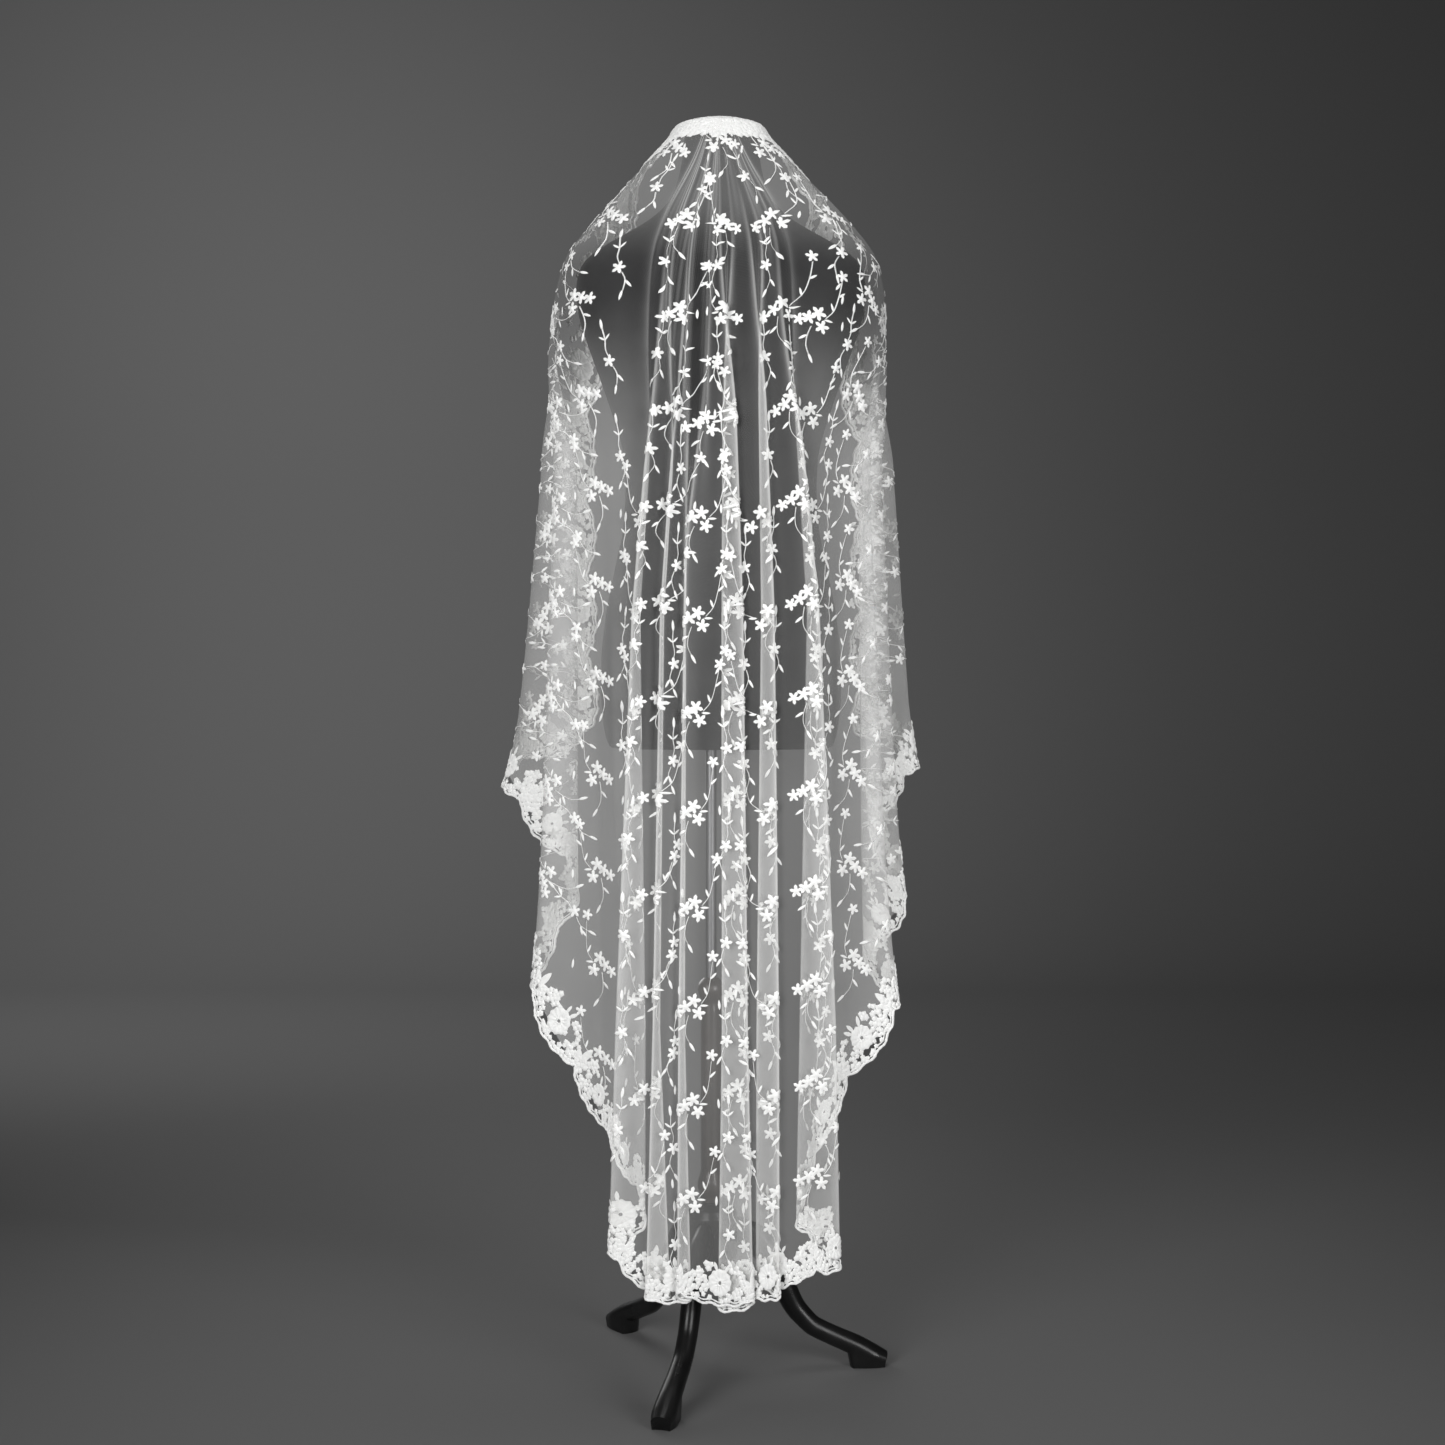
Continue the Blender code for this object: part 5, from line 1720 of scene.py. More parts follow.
    def finish(self, name: str, meshes: Sequence[Mesh], nodes: Sequence[str]) -> None:
        """Joins the meshes of a piece of the border and puts it on the frame.

        Args:
            name: The piece's name.
            meshes: What it is made of.
            nodes: The solids that it stands for.
        """
        mesh = joined(name, meshes, self.material)
        map_grain(mesh)
        finished(name, mesh, nodes)

    def crown_fill(self, chance: np.random.Generator) -> Mesh:
        """Fills the lace over the top of the neck with nubs, down to just below its rim at the back.

        Args:
            chance: The seeded source of small differences.

        Returns:
            The nubs, on the drape.
        """
        crown, cloth = self.crown, self.cloth
        x, y = np.meshgrid(np.arange(-crown.half_width, crown.half_width, crown.pitch),
                           np.arange(*crown.rows, crown.pitch * self.ground.row_share))
        x = x + 0.5 * crown.pitch * (np.arange(len(x)) % 2)[:, None]
        shift = chance.uniform(-crown.jitter, crown.jitter, (x.size, 2)) * crown.pitch
        flat = np.stack([x, y], axis=-1).reshape(-1, 2) + shift
        row, column = cloth.place(flat)
        height = cloth.sampled(cloth.points, row, column)[:, 2]
        central = np.abs(column / cloth.COLUMNS - 0.5) < crown.side_share
        flat = flat[(height > crown.foot) & central & (row > 1.0)]
        sizes = chance.uniform(*crown.sizes, len(flat))
        turns = chance.uniform(0, ALL_WAYS, len(flat))
        made = self.maker.scattered(self.filler(), flat, turns, sizes, self.material)
        points = points_of(made)
        flat, middle = points[:, :2], cloth.points[0, cloth.COLUMNS // 2, 0]
        away = cloth.laid(flat, np.zeros(len(flat)))[:, 0] - middle
        thick = crown.thick * np.clip(1.0 - (away / crown.thick_reach) ** 2, 0.0, 1.0)
        return move_points(made, cloth.laid(flat, crown.rise * points[:, 2] + crown.lift + thick))

    def on_front(self, along: Array) -> Array:
        """Tells the front edge and the crown from the hem.

        Args:
            along: Lengths along the band.

        Returns:
            Whether each is on the front edge or the crown.
        """
        row, column = self.cloth.place(self.flat(along, np.full_like(along, 0.004)))
        hem, (high, low) = self.cloth.row_of(1.0), self.front_rows
        near_side = np.minimum(column, self.cloth.COLUMNS - 1 - column) < self.front_columns
        return (row < high * hem) | (near_side & (row < low * hem))

    def rosette(self) -> Mesh:
        """Makes a round rosette with a small hole, a raised ring and twelve petals.

        Returns:
            The rosette.
        """
        shares = (0.13, 0.19, 0.26, 0.36, 0.55, 0.78, 0.93, 1.0)
        heights = (0.0004, 0.0016, 0.0009, 0.0007, 0.0014, 0.0016, 0.0011, 0.0002)
        radii = [share * self.rosette_radius for share in shares]
        return radial_mesh(radii, heights, lobes=12, lobe=0.0016, groove=0.0009, sides=48,
                           filled=False)

    def filler(self) -> Mesh:
        """A small domed nub of thread."""
        return radial_mesh((0.0011, 0.0027, 0.0037), (0.0013, 0.0009, 0.0), lobes=5, lobe=0.0010,
                           groove=0.0003, sides=10, filled=True)

    def sprays(self, chance: np.random.Generator, centres: Array) -> tuple[Array, Array, Array]:
        """The leaves that point inwards from the rosettes and between them.

        Args:
            chance: The seeded source of small differences.
            centres: The rosettes' places and radii.

        Returns:
            The leaves' places, turns and sizes.
        """
        places, turns, sizes = [], [], []
        for number, (along, inside, radius) in enumerate(centres):
            for angle in self.rosette_leaves[number % 2]:
                turn = math.radians(angle + chance.uniform(-7, 7))
                out = 0.9 * radius
                places.append((along + out * math.cos(turn), inside + out * math.sin(turn)))
                turns.append(turn)
                sizes.append(chance.uniform(*self.leaf_sizes))
        for valley in self.valleys:
            for angle, root, size in self.valley_leaves:
                turn = math.radians(angle + chance.uniform(-8, 8))
                places.append((valley + 0.003 * math.cos(turn), root))
                turns.append(turn)
                sizes.append(size * chance.uniform(0.85, 1.1))
        return np.array(places), np.array(turns), np.array(sizes)

    def cord_meshes(self) -> list[Mesh]:
        """Runs the thick cord along the scalloped edge, and a thinner one beside it.

        Returns:
            Both cords.
        """
        meshes = []
        for cord in self.cords:
            along = np.arange(0.0, self.total, cord.step)
            flat = self.flat(along, self.edge_inside(along) + cord.inside)
            line = self.cloth.laid(flat, np.full(len(along), self.cord_lift))
            twist = np.sin(along * 2.0 * math.pi / self.twist_length)
            knots = 1.0 + 0.16 * twist + 0.08 * np.sin(along * 410.0)
            meshes.append(self.maker.swept([line], [knots], cord.radius, cord.sides, self.material,
                                           closed=True))
        return meshes


@dataclass(frozen=True)
class Sprig:
    """One spray of the embroidery, upright in the cut, in metres.

    stems are lines of points, leaves are place, turn in degrees and size, and flowers place and size.
    """

    stems: tuple[tuple[tuple[float, float], ...], ...]
    leaves: tuple[tuple[float, float, float, float], ...]
    flowers: tuple[tuple[float, float, float], ...]


CLUSTER = Sprig(
    stems=(
        ((-0.015, 0.003), (-0.022, 0.014), (-0.025, 0.030), (-0.027, 0.052)),
        ((0.000, -0.010), (0.003, -0.022), (0.003, -0.034), (-0.002, -0.044)),
    ),
    leaves=(
        (-0.022, 0.013, 66.0, 0.85), (-0.025, 0.032, 132.0, 0.85), (-0.013, 0.001, 178.0, 0.85),
        (0.003, -0.021, -36.0, 0.95), (-0.001, -0.042, -122.0, 1.05), (-0.037, -0.005, 84.0, 0.95),
    ),
    flowers=((-0.006, 0.007, 1.05), (-0.012, -0.008, 1.0), (0.004, 0.000, 0.98),
             (0.015, -0.005, 0.92), (-0.027, 0.059, 0.86)),
)
SINGLE = Sprig(
    stems=(
        ((0.000, 0.042), (0.001, 0.026), (-0.001, 0.014), (0.001, 0.004)),
        ((0.003, -0.007), (0.006, -0.018), (0.002, -0.030)),
    ),
    leaves=(
        (0.000, 0.038, 88.0, 1.1), (0.001, 0.025, 42.0, 0.75), (0.001, 0.025, 138.0, 0.75),
        (0.006, -0.018, -58.0, 0.95), (0.002, -0.029, -115.0, 1.0),
    ),
    flowers=((0.0, 0.0, 0.92),),
)


@dataclass
class Embroidery:
    """The sprays of small flowers, curved stems and leaves worked all over the tulle."""

    cloth: Cloth
    maker: Maker
    material: Material
    across: float = 0.041
    reference: float = 0.9
    apart: tuple[tuple[float, float], ...] = (
        (0.90, 0.0), (1.02, 0.028), (1.28, 0.034), (1.36, 0.046))
    along: float = 0.115
    longest: float = 1.7
    phases: tuple[float, ...] = (0.0, 0.62, 0.14, 0.48)
    turned_from: float = 52.0
    turned_over: float = 30.0
    margin: float = 0.064
    flower: float = 0.0089
    leaf: tuple[float, float] = (0.0128, 0.0033)
    stem_radius: float = 0.00060
    lift: float = 0.0007
    shift: float = 0.002
    tilt: float = 0.10
    stem_ends: tuple[float, float] = (1.1, 0.8)
    seed: int = 5

    def spots(self) -> list[tuple[float, float, float, int, Sprig]]:
        """Places the sprays in columns that hang upright on the back.

        Nearer the neck, where the columns draw together, those that would crowd are left out.

        Returns:
            For each spray its x and y in the cut, its turn, which way round it is, and its kind.
        """
        cloth = self.cloth
        measure = cloth.start + self.reference * cloth.heading
        numbers = range(int(measure[0] / self.across), int(measure[-1] / self.across) + 1)
        spots, taken = [], np.zeros((0, 3))
        for number in sorted(numbers, key=lambda each: (-(each & -each) if each else -64, each)):
            place = (number + 0.5) * self.across
            column = float(np.interp(place, measure, np.arange(cloth.COLUMNS)))
            start, heading = (float(np.interp(place, measure, values))
                              for values in (cloth.start, cloth.heading))
            kind = CLUSTER if number % 2 == 0 else SINGLE
            side = 1 if number % 8 < 4 else -1
            for row in range(int(self.longest / self.along)):
                length = (row + self.phases[number % 4]) * self.along
                spot = np.array([start + length * math.sin(heading), length * math.cos(heading)])
                point = cloth.laid(spot[None], np.zeros(1))[0]
                least = np.interp(point[2], *zip(*self.apart))
                crowded = len(taken) and np.linalg.norm(taken - point, axis=1).min() < least
                if self.inside(spot) and not crowded:
                    taken = np.concatenate([taken, point[None]])
                    spots.append((*spot.tolist(), heading - self.sideways(column), side, kind))
        return spots

    def sideways(self, column: float) -> float:
        """Turns sprays out of their run: not on the back, and by a quarter turn at the sides.

        Args:
            column: The spray's column number.

        Returns:
            The turn in radians.
        """
        angle = float(np.interp(column, np.arange(self.cloth.COLUMNS), self.cloth.angle))
        share = soft_step(np.array((abs(angle) - self.turned_from) / self.turned_over))
        return math.copysign(math.pi / 2.0, angle) * float(share)

    def inside(self, spot: Array) -> bool:
        """Tests whether a spray's middle lies far enough inside the cut.

        Args:
            spot: Its x and y in the cut.

        Returns:
            Whether it does.
        """
        outline = self.cloth.outline
        x, y = outline.T
        after_x, after_y = np.roll(x, -1), np.roll(y, -1)
        crosses = (y > spot[1]) != (after_y > spot[1])
        with np.errstate(divide="ignore", invalid="ignore"):
            at = (after_x - x) * (spot[1] - y) / (after_y - y) + x
        odd = int((crosses & (spot[0] < at)).sum()) % 2 == 1
        return odd and float(np.linalg.norm(outline - spot, axis=1).min()) > self.margin

    def build(self) -> None:
        """Makes the embroidery and puts it on the frame."""
        chance = np.random.default_rng(self.seed)
        lines, widths, leaves, flowers = [], [], [], []
        spots = self.spots()
        shapes = self.cloth.true_axes(np.array([spot[:2] for spot in spots]))
        for (x, y, turned, side, kind), shape in zip(spots, shapes):
            middle = chance.uniform(-self.shift, self.shift, 2) + (x, y)
            tilt = -turned + chance.uniform(-self.tilt, self.tilt)
            lean = np.array([[math.cos(tilt), -math.sin(tilt)], [math.sin(tilt), math.cos(tilt)]])
            frame = shape @ lean @ np.diag((side, -1.0))
            for stem in kind.stems:
                line = middle + self.curve(np.array(stem)) @ frame.T
                lines.append(np.column_stack([line, np.zeros(len(line))]))
                widths.append(np.linspace(*self.stem_ends, len(line)))
            for place_x, place_y, turn, size in kind.leaves:
                way = math.radians(-turn if side > 0 else 180.0 + turn) + tilt
                leaves.append((*(middle + frame @ (place_x, place_y)), way, size))
            for place_x, place_y, size in kind.flowers:
                place = middle + frame @ (place_x, place_y)
                flowers.append((*place, chance.uniform(0, ALL_WAYS), size))
        meshes = [
            self.laid(self.maker.swept(lines, widths, self.stem_radius, 3, self.material)),
            self.placed(leaf_mesh(*self.leaf, rib=0.0006, stations=4, blunt=0.9, fullness=0.6),
                        np.array(leaves)),
            self.placed(star_mesh(self.flower, petals=5, waist=0.38, rise=0.0012), np.array(flowers)),
        ]
        mesh = joined("veil_embroidery", meshes, self.material)
        map_grain(mesh)
        LOG.info("%d sprays, %d flowers, %d leaves", len(spots), len(flowers), len(leaves))
        finished("veil_embroidery", mesh)

    def placed(self, motif: Mesh, spots: Array) -> Mesh:
        """Copies of a motif on the drape, each one keeping its true shape.

        Args:
            motif: The motif in the flat. It is used up.
            spots: Each copy's x, y, turn and size.

        Returns:
            The copies' mesh, laid on the drape.
        """
        made = self.maker.scattered(motif, spots[:, :2], spots[:, 2], spots[:, 3], self.material)
        points = points_of(made).reshape(len(spots), -1, 3)
        away = points[..., :2] - spots[:, None, :2]
        axes = self.cloth.true_axes(spots[:, :2])
        points[..., :2] = spots[:, None, :2] + np.einsum("nij,nkj->nki", axes, away)
        return self.laid(move_points(made, points))

    def laid(self, mesh: Mesh) -> Mesh:
        """Lays a flat mesh on the drape."""
        points = points_of(mesh)
        return move_points(mesh, self.cloth.laid(points[:, :2], points[:, 2] + self.lift))

    @staticmethod
    def curve(points: Array) -> Array:
        """Draws a smooth line through a stem's points.

        Args:
            points: The stem's points.

        Returns:
            The line's points, three to a span.
        """
        before, after = 2 * points[:1] - points[1:2], 2 * points[-1:] - points[-2:-1]
        padded = np.concatenate([before, points, after])
        made = []
        for a, b, c, d in zip(padded[:-3], padded[1:-2], padded[2:-1], padded[3:]):
            for t in (0.0, 1 / 3, 2 / 3):
                made.append(0.5 * (2 * b + (c - a) * t + (2 * a - 5 * b + 4 * c - d) * t**2
                                   + (3 * b - a - 3 * c + d) * t**3))
        made.append(points[-1])
        return np.array(made)


@dataclass
class Tulle:
    """The veil's net: one thin shell on the drape, its edge hidden under the lace."""

    cloth: Cloth
    material: Material
    columns: int = 690
    rows: int = 141
    row_crowding: float = 0.25
    under_lace: float = 0.017
    crown_under_lace: float = 0.9
    side_rows: int = 120
    side_columns: int = 700
    side_growth: tuple[float, float] = (0.55, 60.0)
    steepest: float = 0.35
    ease_columns: int = 20
    settling: int = 4

    def build(self) -> Object:
        """Makes the net and puts it on the frame.

        Returns:
            The net.
        """
        cloth, number = self.cloth, np.arange(self.cloth.COLUMNS)
        hem_row = cloth.row_of(1.0)
        down = np.linspace(0.0, 1.0, self.rows)
        down = (down * (1.0 - self.row_crowding) + self.row_crowding * down**2)[:, None]
        across = np.linspace(0.0, 1.0, self.columns)[None, :]
        sides = [self.side_edge(hem_row, flip) for flip in (False, True)]
        top, foot = self.crown_edge(), self.hem_edge(hem_row)
        row = down * hem_row * np.ones_like(across)
        for _ in range(self.settling):
            left, right = (np.interp(row, *side) for side in sides)
            column = left + (right - left) * across
            high, low = (np.interp(column, number, edge) for edge in (top, foot))
            row = high + (low - high) * down
        points = cloth.sampled(cloth.points, row, column).reshape(-1, 3)
        mesh = new_mesh("veil_tulle", points, grid_faces(self.rows, self.columns))
        uv_from_points(mesh, cloth.flat(row, column).reshape(-1, 2))
        for name, values in (("fold", cloth.fold), ("dense", cloth.dense)):
            attribute(mesh, name, cloth.sampled(values, row, column).ravel())
        mesh.materials.append(self.material)
        mesh.shade_smooth()
        return finished("veil_tulle", mesh,
                        ("tulle_shoulders", "tulle_left", "tulle_back", "tulle_right"))

    def side_edge(self, hem_row: float, right: bool) -> tuple[Array, Array]:
        """Finds where the net ends under the lace of a front edge.

        Args:
            hem_row: The row number of the hem.
            right: Whether it is the right edge.

        Returns:
            Row numbers, and the column number at each.
        """
        cloth, rows = self.cloth, np.linspace(0.0, hem_row, self.side_rows)
        columns = np.arange(self.side_columns, dtype=float)
        if right:
            columns = cloth.COLUMNS - 1 - columns
        first, growth = self.side_growth
        found = []
        for row in rows:
            line = cloth.sampled(cloth.points, np.full(self.side_columns, row), columns)
            under = self.under_lace * min(1.0, first + row / growth)
            found.append(float(np.interp(under, run_of(line), columns)))
        return rows, np.array(found)

    def crown_edge(self) -> Array:
        """Finds where the net ends under the lace over the neck.

        Returns:
            The row number in each column.
        """
        cloth, number = self.cloth, np.arange(self.cloth.ROWS)
        return np.array([
            np.interp(self.under_lace * math.cos(heading) ** 2 * self.crown_under_lace, run, number)
            for heading, run in zip(cloth.heading, cloth.length.T)])

    def hem_edge(self, hem_row: float) -> Array:
        """Finds where the net ends under the lace of the hem.

        Args:
            hem_row: The row number of the hem.

        Returns:
            The row number in each column.
        """
        cloth, number = self.cloth, np.arange(self.cloth.ROWS)
        rows, columns = np.full(cloth.COLUMNS, hem_row), np.arange(cloth.COLUMNS, dtype=float)
        along = unit(np.gradient(cloth.flat(rows, columns), axis=0))
        square = np.abs(along[:, 0] * np.cos(cloth.heading) - along[:, 1] * np.sin(cloth.heading))
        back = self.under_lace / np.maximum(square, self.steepest)
        window = 2 * self.ease_columns + 1
        padded = np.pad(back, self.ease_columns, mode="edge")
        back = np.convolve(padded, np.ones(window) / window, mode="valid")
        ends = cloth.sampled(cloth.length, rows, columns) - back
        return np.array([np.interp(end, run, number) for end, run in zip(ends, cloth.length.T)])


# ---------------------------------------------------------------- the form and the stand


@dataclass(frozen=True)
class FormSection:
    """A section of the dress form."""

    height: float
    half_width: float
    half_depth: float
    forward: float


@dataclass(frozen=True)
class Turned:
    """A ring of a turned piece."""

    height: float
    radius: float


@dataclass(frozen=True)
class LegSection:
    """A section of a curved leg: its distance from the pole, middle height and half sizes."""

    out: float
    height: float
    half_height: float
    half_width: float


FORM_SECTIONS = tuple(FormSection(*row) for row in (
    (1.539, 0.0455, 0.0460, 0.000),
    (1.500, 0.0500, 0.0500, 0.000),
    (1.478, 0.0560, 0.0540, 0.002),
    (1.455, 0.0670, 0.0600, 0.006),
    (1.432, 0.0950, 0.0660, 0.010),
    (1.410, 0.1400, 0.0720, 0.012),
    (1.388, 0.1740, 0.0780, 0.012),
    (1.360, 0.1820, 0.0860, 0.014),
    (1.320, 0.1790, 0.0960, 0.016),
    (1.280, 0.1660, 0.1050, 0.020),
    (1.240, 0.1510, 0.1100, 0.024),
    (1.190, 0.1340, 0.1030, 0.022),
    (1.150, 0.1220, 0.0920, 0.014),
    (1.100, 0.1190, 0.0850, 0.006),
    (1.050, 0.1220, 0.0860, 0.000),
    (1.000, 0.1330, 0.0930, -0.002),
    (0.950, 0.1430, 0.1000, -0.003),
    (0.900, 0.1490, 0.1040, -0.004),
    (0.840, 0.1500, 0.1040, -0.002),
    (0.795, 0.1450, 0.1000, 0.000),
    (0.780, 0.1380, 0.0950, 0.000),
))
COLUMN = tuple(Turned(*row) for row in (
    (0.4927, 0.0090), (0.4860, 0.0155), (0.4780, 0.0175), (0.4700, 0.0155),
    (0.4640, 0.0120), (0.4500, 0.0128), (0.3000, 0.0132), (0.2500, 0.0128),
    (0.2360, 0.0170), (0.2270, 0.0170), (0.2180, 0.0130), (0.2123, 0.0130),
))
HUB = tuple(Turned(*row) for row in (
    (0.2120, 0.0200), (0.2050, 0.0290), (0.1950, 0.0330), (0.1450, 0.0330),
    (0.1350, 0.0290), (0.1250, 0.0150), (0.1150, 0.0090),
))
LEG = tuple(LegSection(*row) for row in (
    (0.0336, 0.1720, 0.0200, 0.0115), (0.0560, 0.1640, 0.0185, 0.0120),
    (0.0760, 0.1400, 0.0165, 0.0125), (0.0900, 0.1080, 0.0150, 0.0125),
    (0.1050, 0.0760, 0.0135, 0.0120), (0.1270, 0.0520, 0.0125, 0.0120),
    (0.1560, 0.0380, 0.0125, 0.0125), (0.1850, 0.0250, 0.0130, 0.0140),
    (0.2060, 0.0140, 0.0120, 0.0155), (0.2200, 0.0090, 0.0090, 0.0120),
))


def lofted(name: str, rings: Array) -> Mesh:
    """Makes a closed surface through rings of points, its ends filled.

    Args:
        name: The mesh's name.
        rings: The points of each ring, from the foot up.

    Returns:
        The mesh.
    """
    count, sides = rings.shape[:2]
    faces = [face[::-1] for face in grid_faces(count, sides, closed=True).tolist()]
    ends = [rings[0].mean(axis=0), rings[-1].mean(axis=0)]
    points = np.concatenate([rings.reshape(-1, 3), ends])
    foot, top = count * sides, count * sides + 1
    for i in range(sides):
        after = (i + 1) % sides
        faces.append((after, i, foot))
        faces.append(((count - 1) * sides + i, (count - 1) * sides + after, top))
    mesh = new_mesh(name, points, faces)
    mesh.shade_smooth()
    mesh.set_sharp_from_angle(angle=math.radians(42))
    return mesh


def eased(values: Array, times: int) -> Array:
    """Smooths a table's rows and keeps its ends.

    Args:
        values: The table. It is changed.
        times: How often to smooth it.

    Returns:
        The same table.
    """
    for _ in range(times):
        values[1:-1] = 0.25 * values[:-2] + 0.5 * values[1:-1] + 0.25 * values[2:]
    return values


@dataclass
class DressForm:
    """The limbless dress form: a jersey cover with sewn seams, and a flat cap on the neck."""

    pole: Vector
    jersey: Material
    cap: Material
    centre_x: float = 0.0125
    power: float = 2.2
    sides: int = 144
    seams: tuple[float, ...] = (-90.0, -128.0, -52.0, 0.0, 180.0, 90.0, 128.0, 52.0)
    seam_depth: float = 0.0007
    seam_width: float = 2.2
    cap_radius: float = 0.0465
    cap_thickness: float = 0.0045
    cap_gap: float = 0.0003
    edge_radius: float = 0.006
    edge_rises: tuple[float, ...] = (0.0, 0.0008, 0.003)
    body_foot: float = 0.008
    body_rings: int = 110
    bevel: float = 0.0012

    def body(self) -> Mesh:
        """Makes the cover, with a shallow groove at each seam.

        Returns:
            The cover.
        """
        rows = np.array([(s.height, s.half_width, s.half_depth, s.forward)
                         for s in reversed(FORM_SECTIONS)])
        foot = rows[0, 0]
        heights = np.concatenate([foot + np.array(self.edge_rises),
                                  np.linspace(foot + self.body_foot, rows[-1, 0], self.body_rings)])
        table = read_rows(heights, rows[:, 0], rows[:, 1:])
        table[3:] = eased(table[3:], 3)
        table[0, :2] -= self.edge_radius
        table[1, :2] -= 0.4 * self.edge_radius
        turn = np.arange(self.sides) * 2.0 * math.pi / self.sides
        sine, cosine = np.sin(turn), np.cos(turn)
        swell = (np.abs(sine) ** self.power + np.abs(cosine) ** self.power) ** (-1.0 / self.power)
        degrees = np.degrees(turn)
        groove = np.zeros(self.sides)
        for seam in self.seams:
            away = np.abs((degrees - seam + 180.0) % 360.0 - 180.0)
            groove += np.exp(-((away / self.seam_width) ** 2))
        rings = np.zeros((len(heights), self.sides, 3))
        shrink = self.seam_depth * groove
        middle_x = self.pole.x + self.centre_x
        for ring, height, (half_width, half_depth, forward) in zip(rings, heights, table):
            ring[:, 0] = middle_x + (half_width - shrink) * cosine * swell
            ring[:, 1] = self.pole.y + forward + (half_depth - shrink) * sine * swell
            ring[:, 2] = height
        return lofted("dress_form_cover", rings)

    def build(self) -> None:
        """Makes the form and its cap and puts them on the frame."""
        body = self.body()
        body.materials.append(self.jersey)
        finished("dress_form_cover", body, ("form_torso",))
        foot = FORM_SECTIONS[0].height + self.cap_gap
        top = foot + self.cap_thickness
        bevel = self.bevel
        full = self.cap_radius
        profile = [Turned(foot, full - bevel / 2), Turned(foot + bevel / 2, full),
                   Turned(top - bevel, full), Turned(top - bevel * 0.3, full - bevel * 0.3),
                   Turned(top, full - bevel)]
        middle = Vector((self.pole.x + self.centre_x, self.pole.y, 0.0))
        mesh = turned("neck_cap", profile, middle, 72)
        mesh.materials.append(self.cap)
        finished("neck_cap", mesh, ("form_neck_cap",))


def turned(name: str, profile: Sequence[Turned], middle: Vector, sides: int) -> Mesh:
    """Makes a turned piece.

    Args:
        name: The mesh's name.
        profile: Its profile from the foot up.
        middle: A point of its upright axis.
        sides: Points round it.

    Returns:
        The mesh.
    """
    turn = np.arange(sides) * 2.0 * math.pi / sides
    rings = np.array([np.column_stack([middle.x + place.radius * np.cos(turn),
                                       middle.y + place.radius * np.sin(turn),
                                       np.full(sides, place.height)]) for place in profile])
    return lofted(name, rings)


@dataclass
class Stand:
    """The stand: a metal rod, a turned wooden column, a hub and three curved legs."""

    pole: Vector
    metal: Material
    wood: Material
    gloss: Material
    rod: tuple[float, float, float] = (0.4930, 0.7797, 0.0069)
    sides: int = 48
    leg_sides: int = 22
    leg_steps: int = 8
    foot_from: float = 0.180
    sole_from: float = -0.3
    legs: dict[str, float] = field(default_factory=lambda: {
        "stand_leg_right": 4.0, "stand_leg_left": 127.0, "stand_leg_camera": -105.0})

    def smooth_profile(self, profile: Sequence[Turned]) -> list[Turned]:
        """Gives a turned profile more rings, its corners eased.

        Args:
            profile: The profile from the top down.

        Returns:
            The profile from the foot up.
        """
        rows = np.array([(place.height, place.radius) for place in reversed(profile)])
        run = run_of(rows)
        even = np.unique(np.concatenate([np.linspace(0.0, run[-1], 90), run]))
        return [Turned(*row) for row in eased(read_rows(even, run, rows), 3)]

    def leg(self, angle: float) -> Mesh:
        """Makes a curved leg with a flat-bottomed toe.

        Args:
            angle: The leg's direction in degrees, from +X.

        Returns:
            The leg.
        """
        turn = math.radians(angle)
        out = np.array([math.cos(turn), math.sin(turn), 0.0])
        side = np.array([-math.sin(turn), math.cos(turn), 0.0])
        rows = np.array([(s.out, s.height, s.half_height, s.half_width) for s in LEG])
        places = np.linspace(0.0, len(rows) - 1.0, (len(rows) - 1) * self.leg_steps + 1)
        table = eased(read_rows(places, np.arange(len(rows)), rows), 5)
        centres = out * table[:, :1] + np.array([0.0, 0.0, 1.0]) * table[:, 1:2]
        headings = unit(np.gradient(centres, axis=0))
        headings[0] = out
        around = 2.0 * math.pi * (np.arange(self.leg_sides) + 0.5) / self.leg_sides
        rings = []
        for centre, heading, row in zip(centres, headings, table):
            lift = np.cross(heading, side)
            ring = centre + side * row[3] * np.cos(around)[:, None]
            ring = ring + lift * row[2] * np.sin(around)[:, None]
            ring[:, 2] = np.maximum(ring[:, 2], 0.0)
            if row[0] > self.foot_from:
                ring[:, 2] = np.where(np.sin(around) > self.sole_from, ring[:, 2], 0.0)
            rings.append(ring)
        return lofted("leg", np.array(rings) + np.array([self.pole.x, self.pole.y, 0.0]))

    def build(self) -> None:
        """Makes the stand's pieces and puts them on the frame."""
        low, high, radius = self.rod
        rod = [Turned(low, radius), Turned(high - 0.001, radius), Turned(high, radius - 0.001)]
        for name, profile, material, slot in (
            ("stand_rod", rod, self.metal, "grey_metal"),
            ("stand_column", self.smooth_profile(COLUMN), self.wood, "dark_wood"),
            ("stand_hub", self.smooth_profile(HUB), self.gloss, "black_gloss"),
        ):
            mesh = turned(f"{name}_turned", profile, self.pole, self.sides)
            mesh.materials.append(material)
            finished(f"{name}_turned", mesh, (name,))
        for name, angle in self.legs.items():
            mesh = self.leg(angle)
            mesh.materials.append(self.gloss)
            finished(f"{name}_curved", mesh, (name,))


# ---------------------------------------------------------------- stage, light and camera


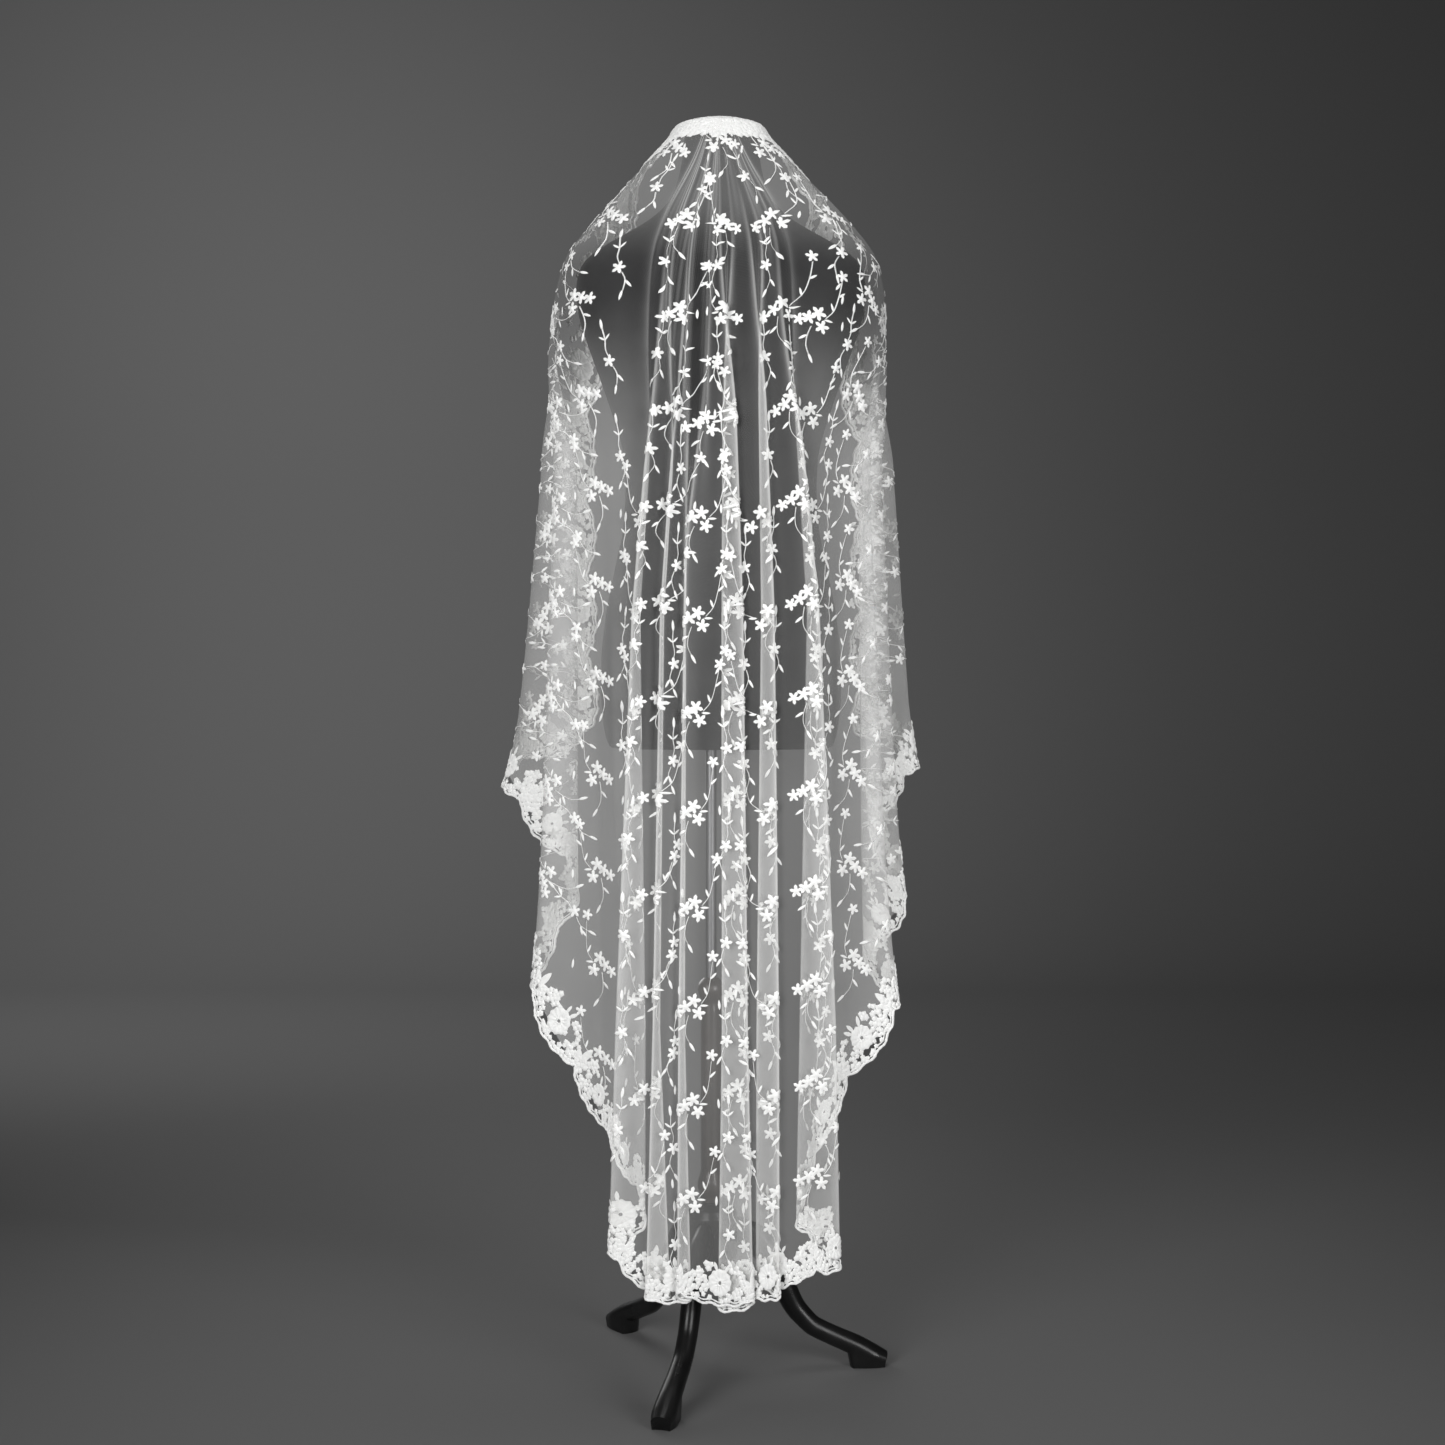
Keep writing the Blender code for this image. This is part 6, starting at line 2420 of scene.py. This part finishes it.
@dataclass(frozen=True)
class SoftLight:
    """A large soft lamp that points at a place."""

    name: str
    place: tuple[float, float, float]
    aim: tuple[float, float, float]
    width: float
    height: float
    watts: float
    spread: float = 75.0

    def build(self) -> None:
        """Adds the lamp."""
        lamp = bpy.data.lights.new(self.name, "AREA")
        lamp.shape = "RECTANGLE"
        lamp.size, lamp.size_y, lamp.energy = self.width, self.height, self.watts
        lamp.spread = math.radians(self.spread)
        thing = bpy.data.objects.new(self.name, lamp)
        thing.location = self.place
        way = Vector(self.aim) - Vector(self.place)
        thing.rotation_euler = way.to_track_quat("-Z", "Y").to_euler()
        bpy.context.scene.collection.objects.link(thing)


@dataclass
class Studio:
    """A plain pale floor that sweeps up behind, soft lamps, and a camera placed from the pole."""

    pole: Vector
    floor_shade: float = 0.145
    floor_reach: float = 7.0
    sweep: float = 3.2
    sweep_radius: float = 1.6
    sweep_height: float = 6.0
    focal_length: float = 2000.0 / 1445.0 * 36.0
    sensor: float = 36.0
    camera_place: tuple[float, float, float] = (0.0144, -2.5, 0.85)
    camera_dip: float = 0.874
    see_through_layers: int = 40
    lamps: tuple[SoftLight, ...] = (
        SoftLight("key", (-1.5, -3.0, 1.5), (0.0, 0.0, 0.95), 1.6, 2.2, 19.0),
        SoftLight("fill", (2.0, -2.7, 1.2), (0.0, 0.0, 0.85), 1.5, 2.0, 13.5),
        SoftLight("top", (0.1, 0.3, 3.2), (0.0, 0.0, 1.0), 1.4, 1.4, 2.8),
        SoftLight("behind", (-1.1, 1.9, 1.6), (0.0, 0.0, 1.0), 1.4, 1.8, 3.8),
        SoftLight("backdrop", (-1.9, 1.5, 2.5), (-1.1, 5.0, 1.7), 1.6, 1.2, 66.0, 180.0),
    )
    world: float = 0.035

    def floor(self) -> None:
        """The floor and the sweep behind it."""
        turn = np.linspace(0.0, math.pi / 2.0, 24)
        reach, radius = self.floor_reach, self.sweep_radius
        y = np.concatenate([[-reach], self.sweep + radius * np.sin(turn), [self.sweep + radius]])
        z = np.concatenate([[0.0], radius * (1.0 - np.cos(turn)), [self.sweep_height]])
        points = np.concatenate([[(x, b, c) for b, c in zip(y, z)] for x in (-reach, reach)])
        count = len(y)
        faces = [(i, count + i, count + i + 1, i + 1) for i in range(count - 1)]
        mesh = new_mesh("floor_sweep", points, faces)
        mesh.shade_smooth()
        mesh.materials.append(new_material(
            "pale_floor", Base_Color=(self.floor_shade,) * 3 + (1.0,), Roughness=0.9)[0])
        new_object("floor_sweep", mesh)

    def camera(self) -> None:
        """The camera at the photograph's place: level with the waist, looking slightly down."""
        lens = bpy.data.cameras.new("camera")
        lens.sensor_width = self.sensor
        lens.lens = self.focal_length
        thing = bpy.data.objects.new("camera", lens)
        thing.location = Vector(self.camera_place) + self.pole
        thing.rotation_euler = (math.radians(90.0 - self.camera_dip), 0.0, 0.0)
        bpy.context.scene.collection.objects.link(thing)
        bpy.context.scene.camera = thing

    def build(self) -> None:
        """Sets up the floor, the lamps, the world and the camera."""
        self.floor()
        for lamp in self.lamps:
            lamp.build()
        world = bpy.data.worlds.new("studio")
        world.use_nodes = True
        background = world.node_tree.nodes["Background"].inputs
        background["Color"].default_value = (1.0, 1.0, 1.0, 1.0)
        background["Strength"].default_value = self.world
        bpy.context.scene.world = world
        bpy.context.scene.view_settings.view_transform = "Standard"
        bpy.context.scene.cycles.transparent_max_bounces = self.see_through_layers
        self.camera()


def main() -> None:
    """Builds the veil, the form, the stand and the studio."""
    logging.basicConfig(level=logging.INFO, format="%(name)s: %(message)s")
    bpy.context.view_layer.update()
    low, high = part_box("stand_rod")
    pole = Vector(((low.x + high.x) / 2.0, (low.y + high.y) / 2.0, 0.0))
    Studio(pole).build()
    finishes = Finishes()
    DressForm(pole, finishes.jersey, finishes.cap).build()
    Stand(pole, finishes.metal, finishes.wood, finishes.gloss).build()
    cloth = Cloth(Drape(), pole)
    maker = Maker()
    border = Border(cloth, maker, finishes.lace)
    tulle = Tulle(cloth, finishes.tulle).build()
    border.build()
    Embroidery(cloth, maker, finishes.thread).build()
    wide, long = np.ptp(cloth.outline, axis=0)
    LOG.info("cut %.3f by %.3f m, area %.4f m2", wide, long, cloth.cut_area)
    round(cloth.cut_area, 3)


if __name__ == "__main__":
    main()
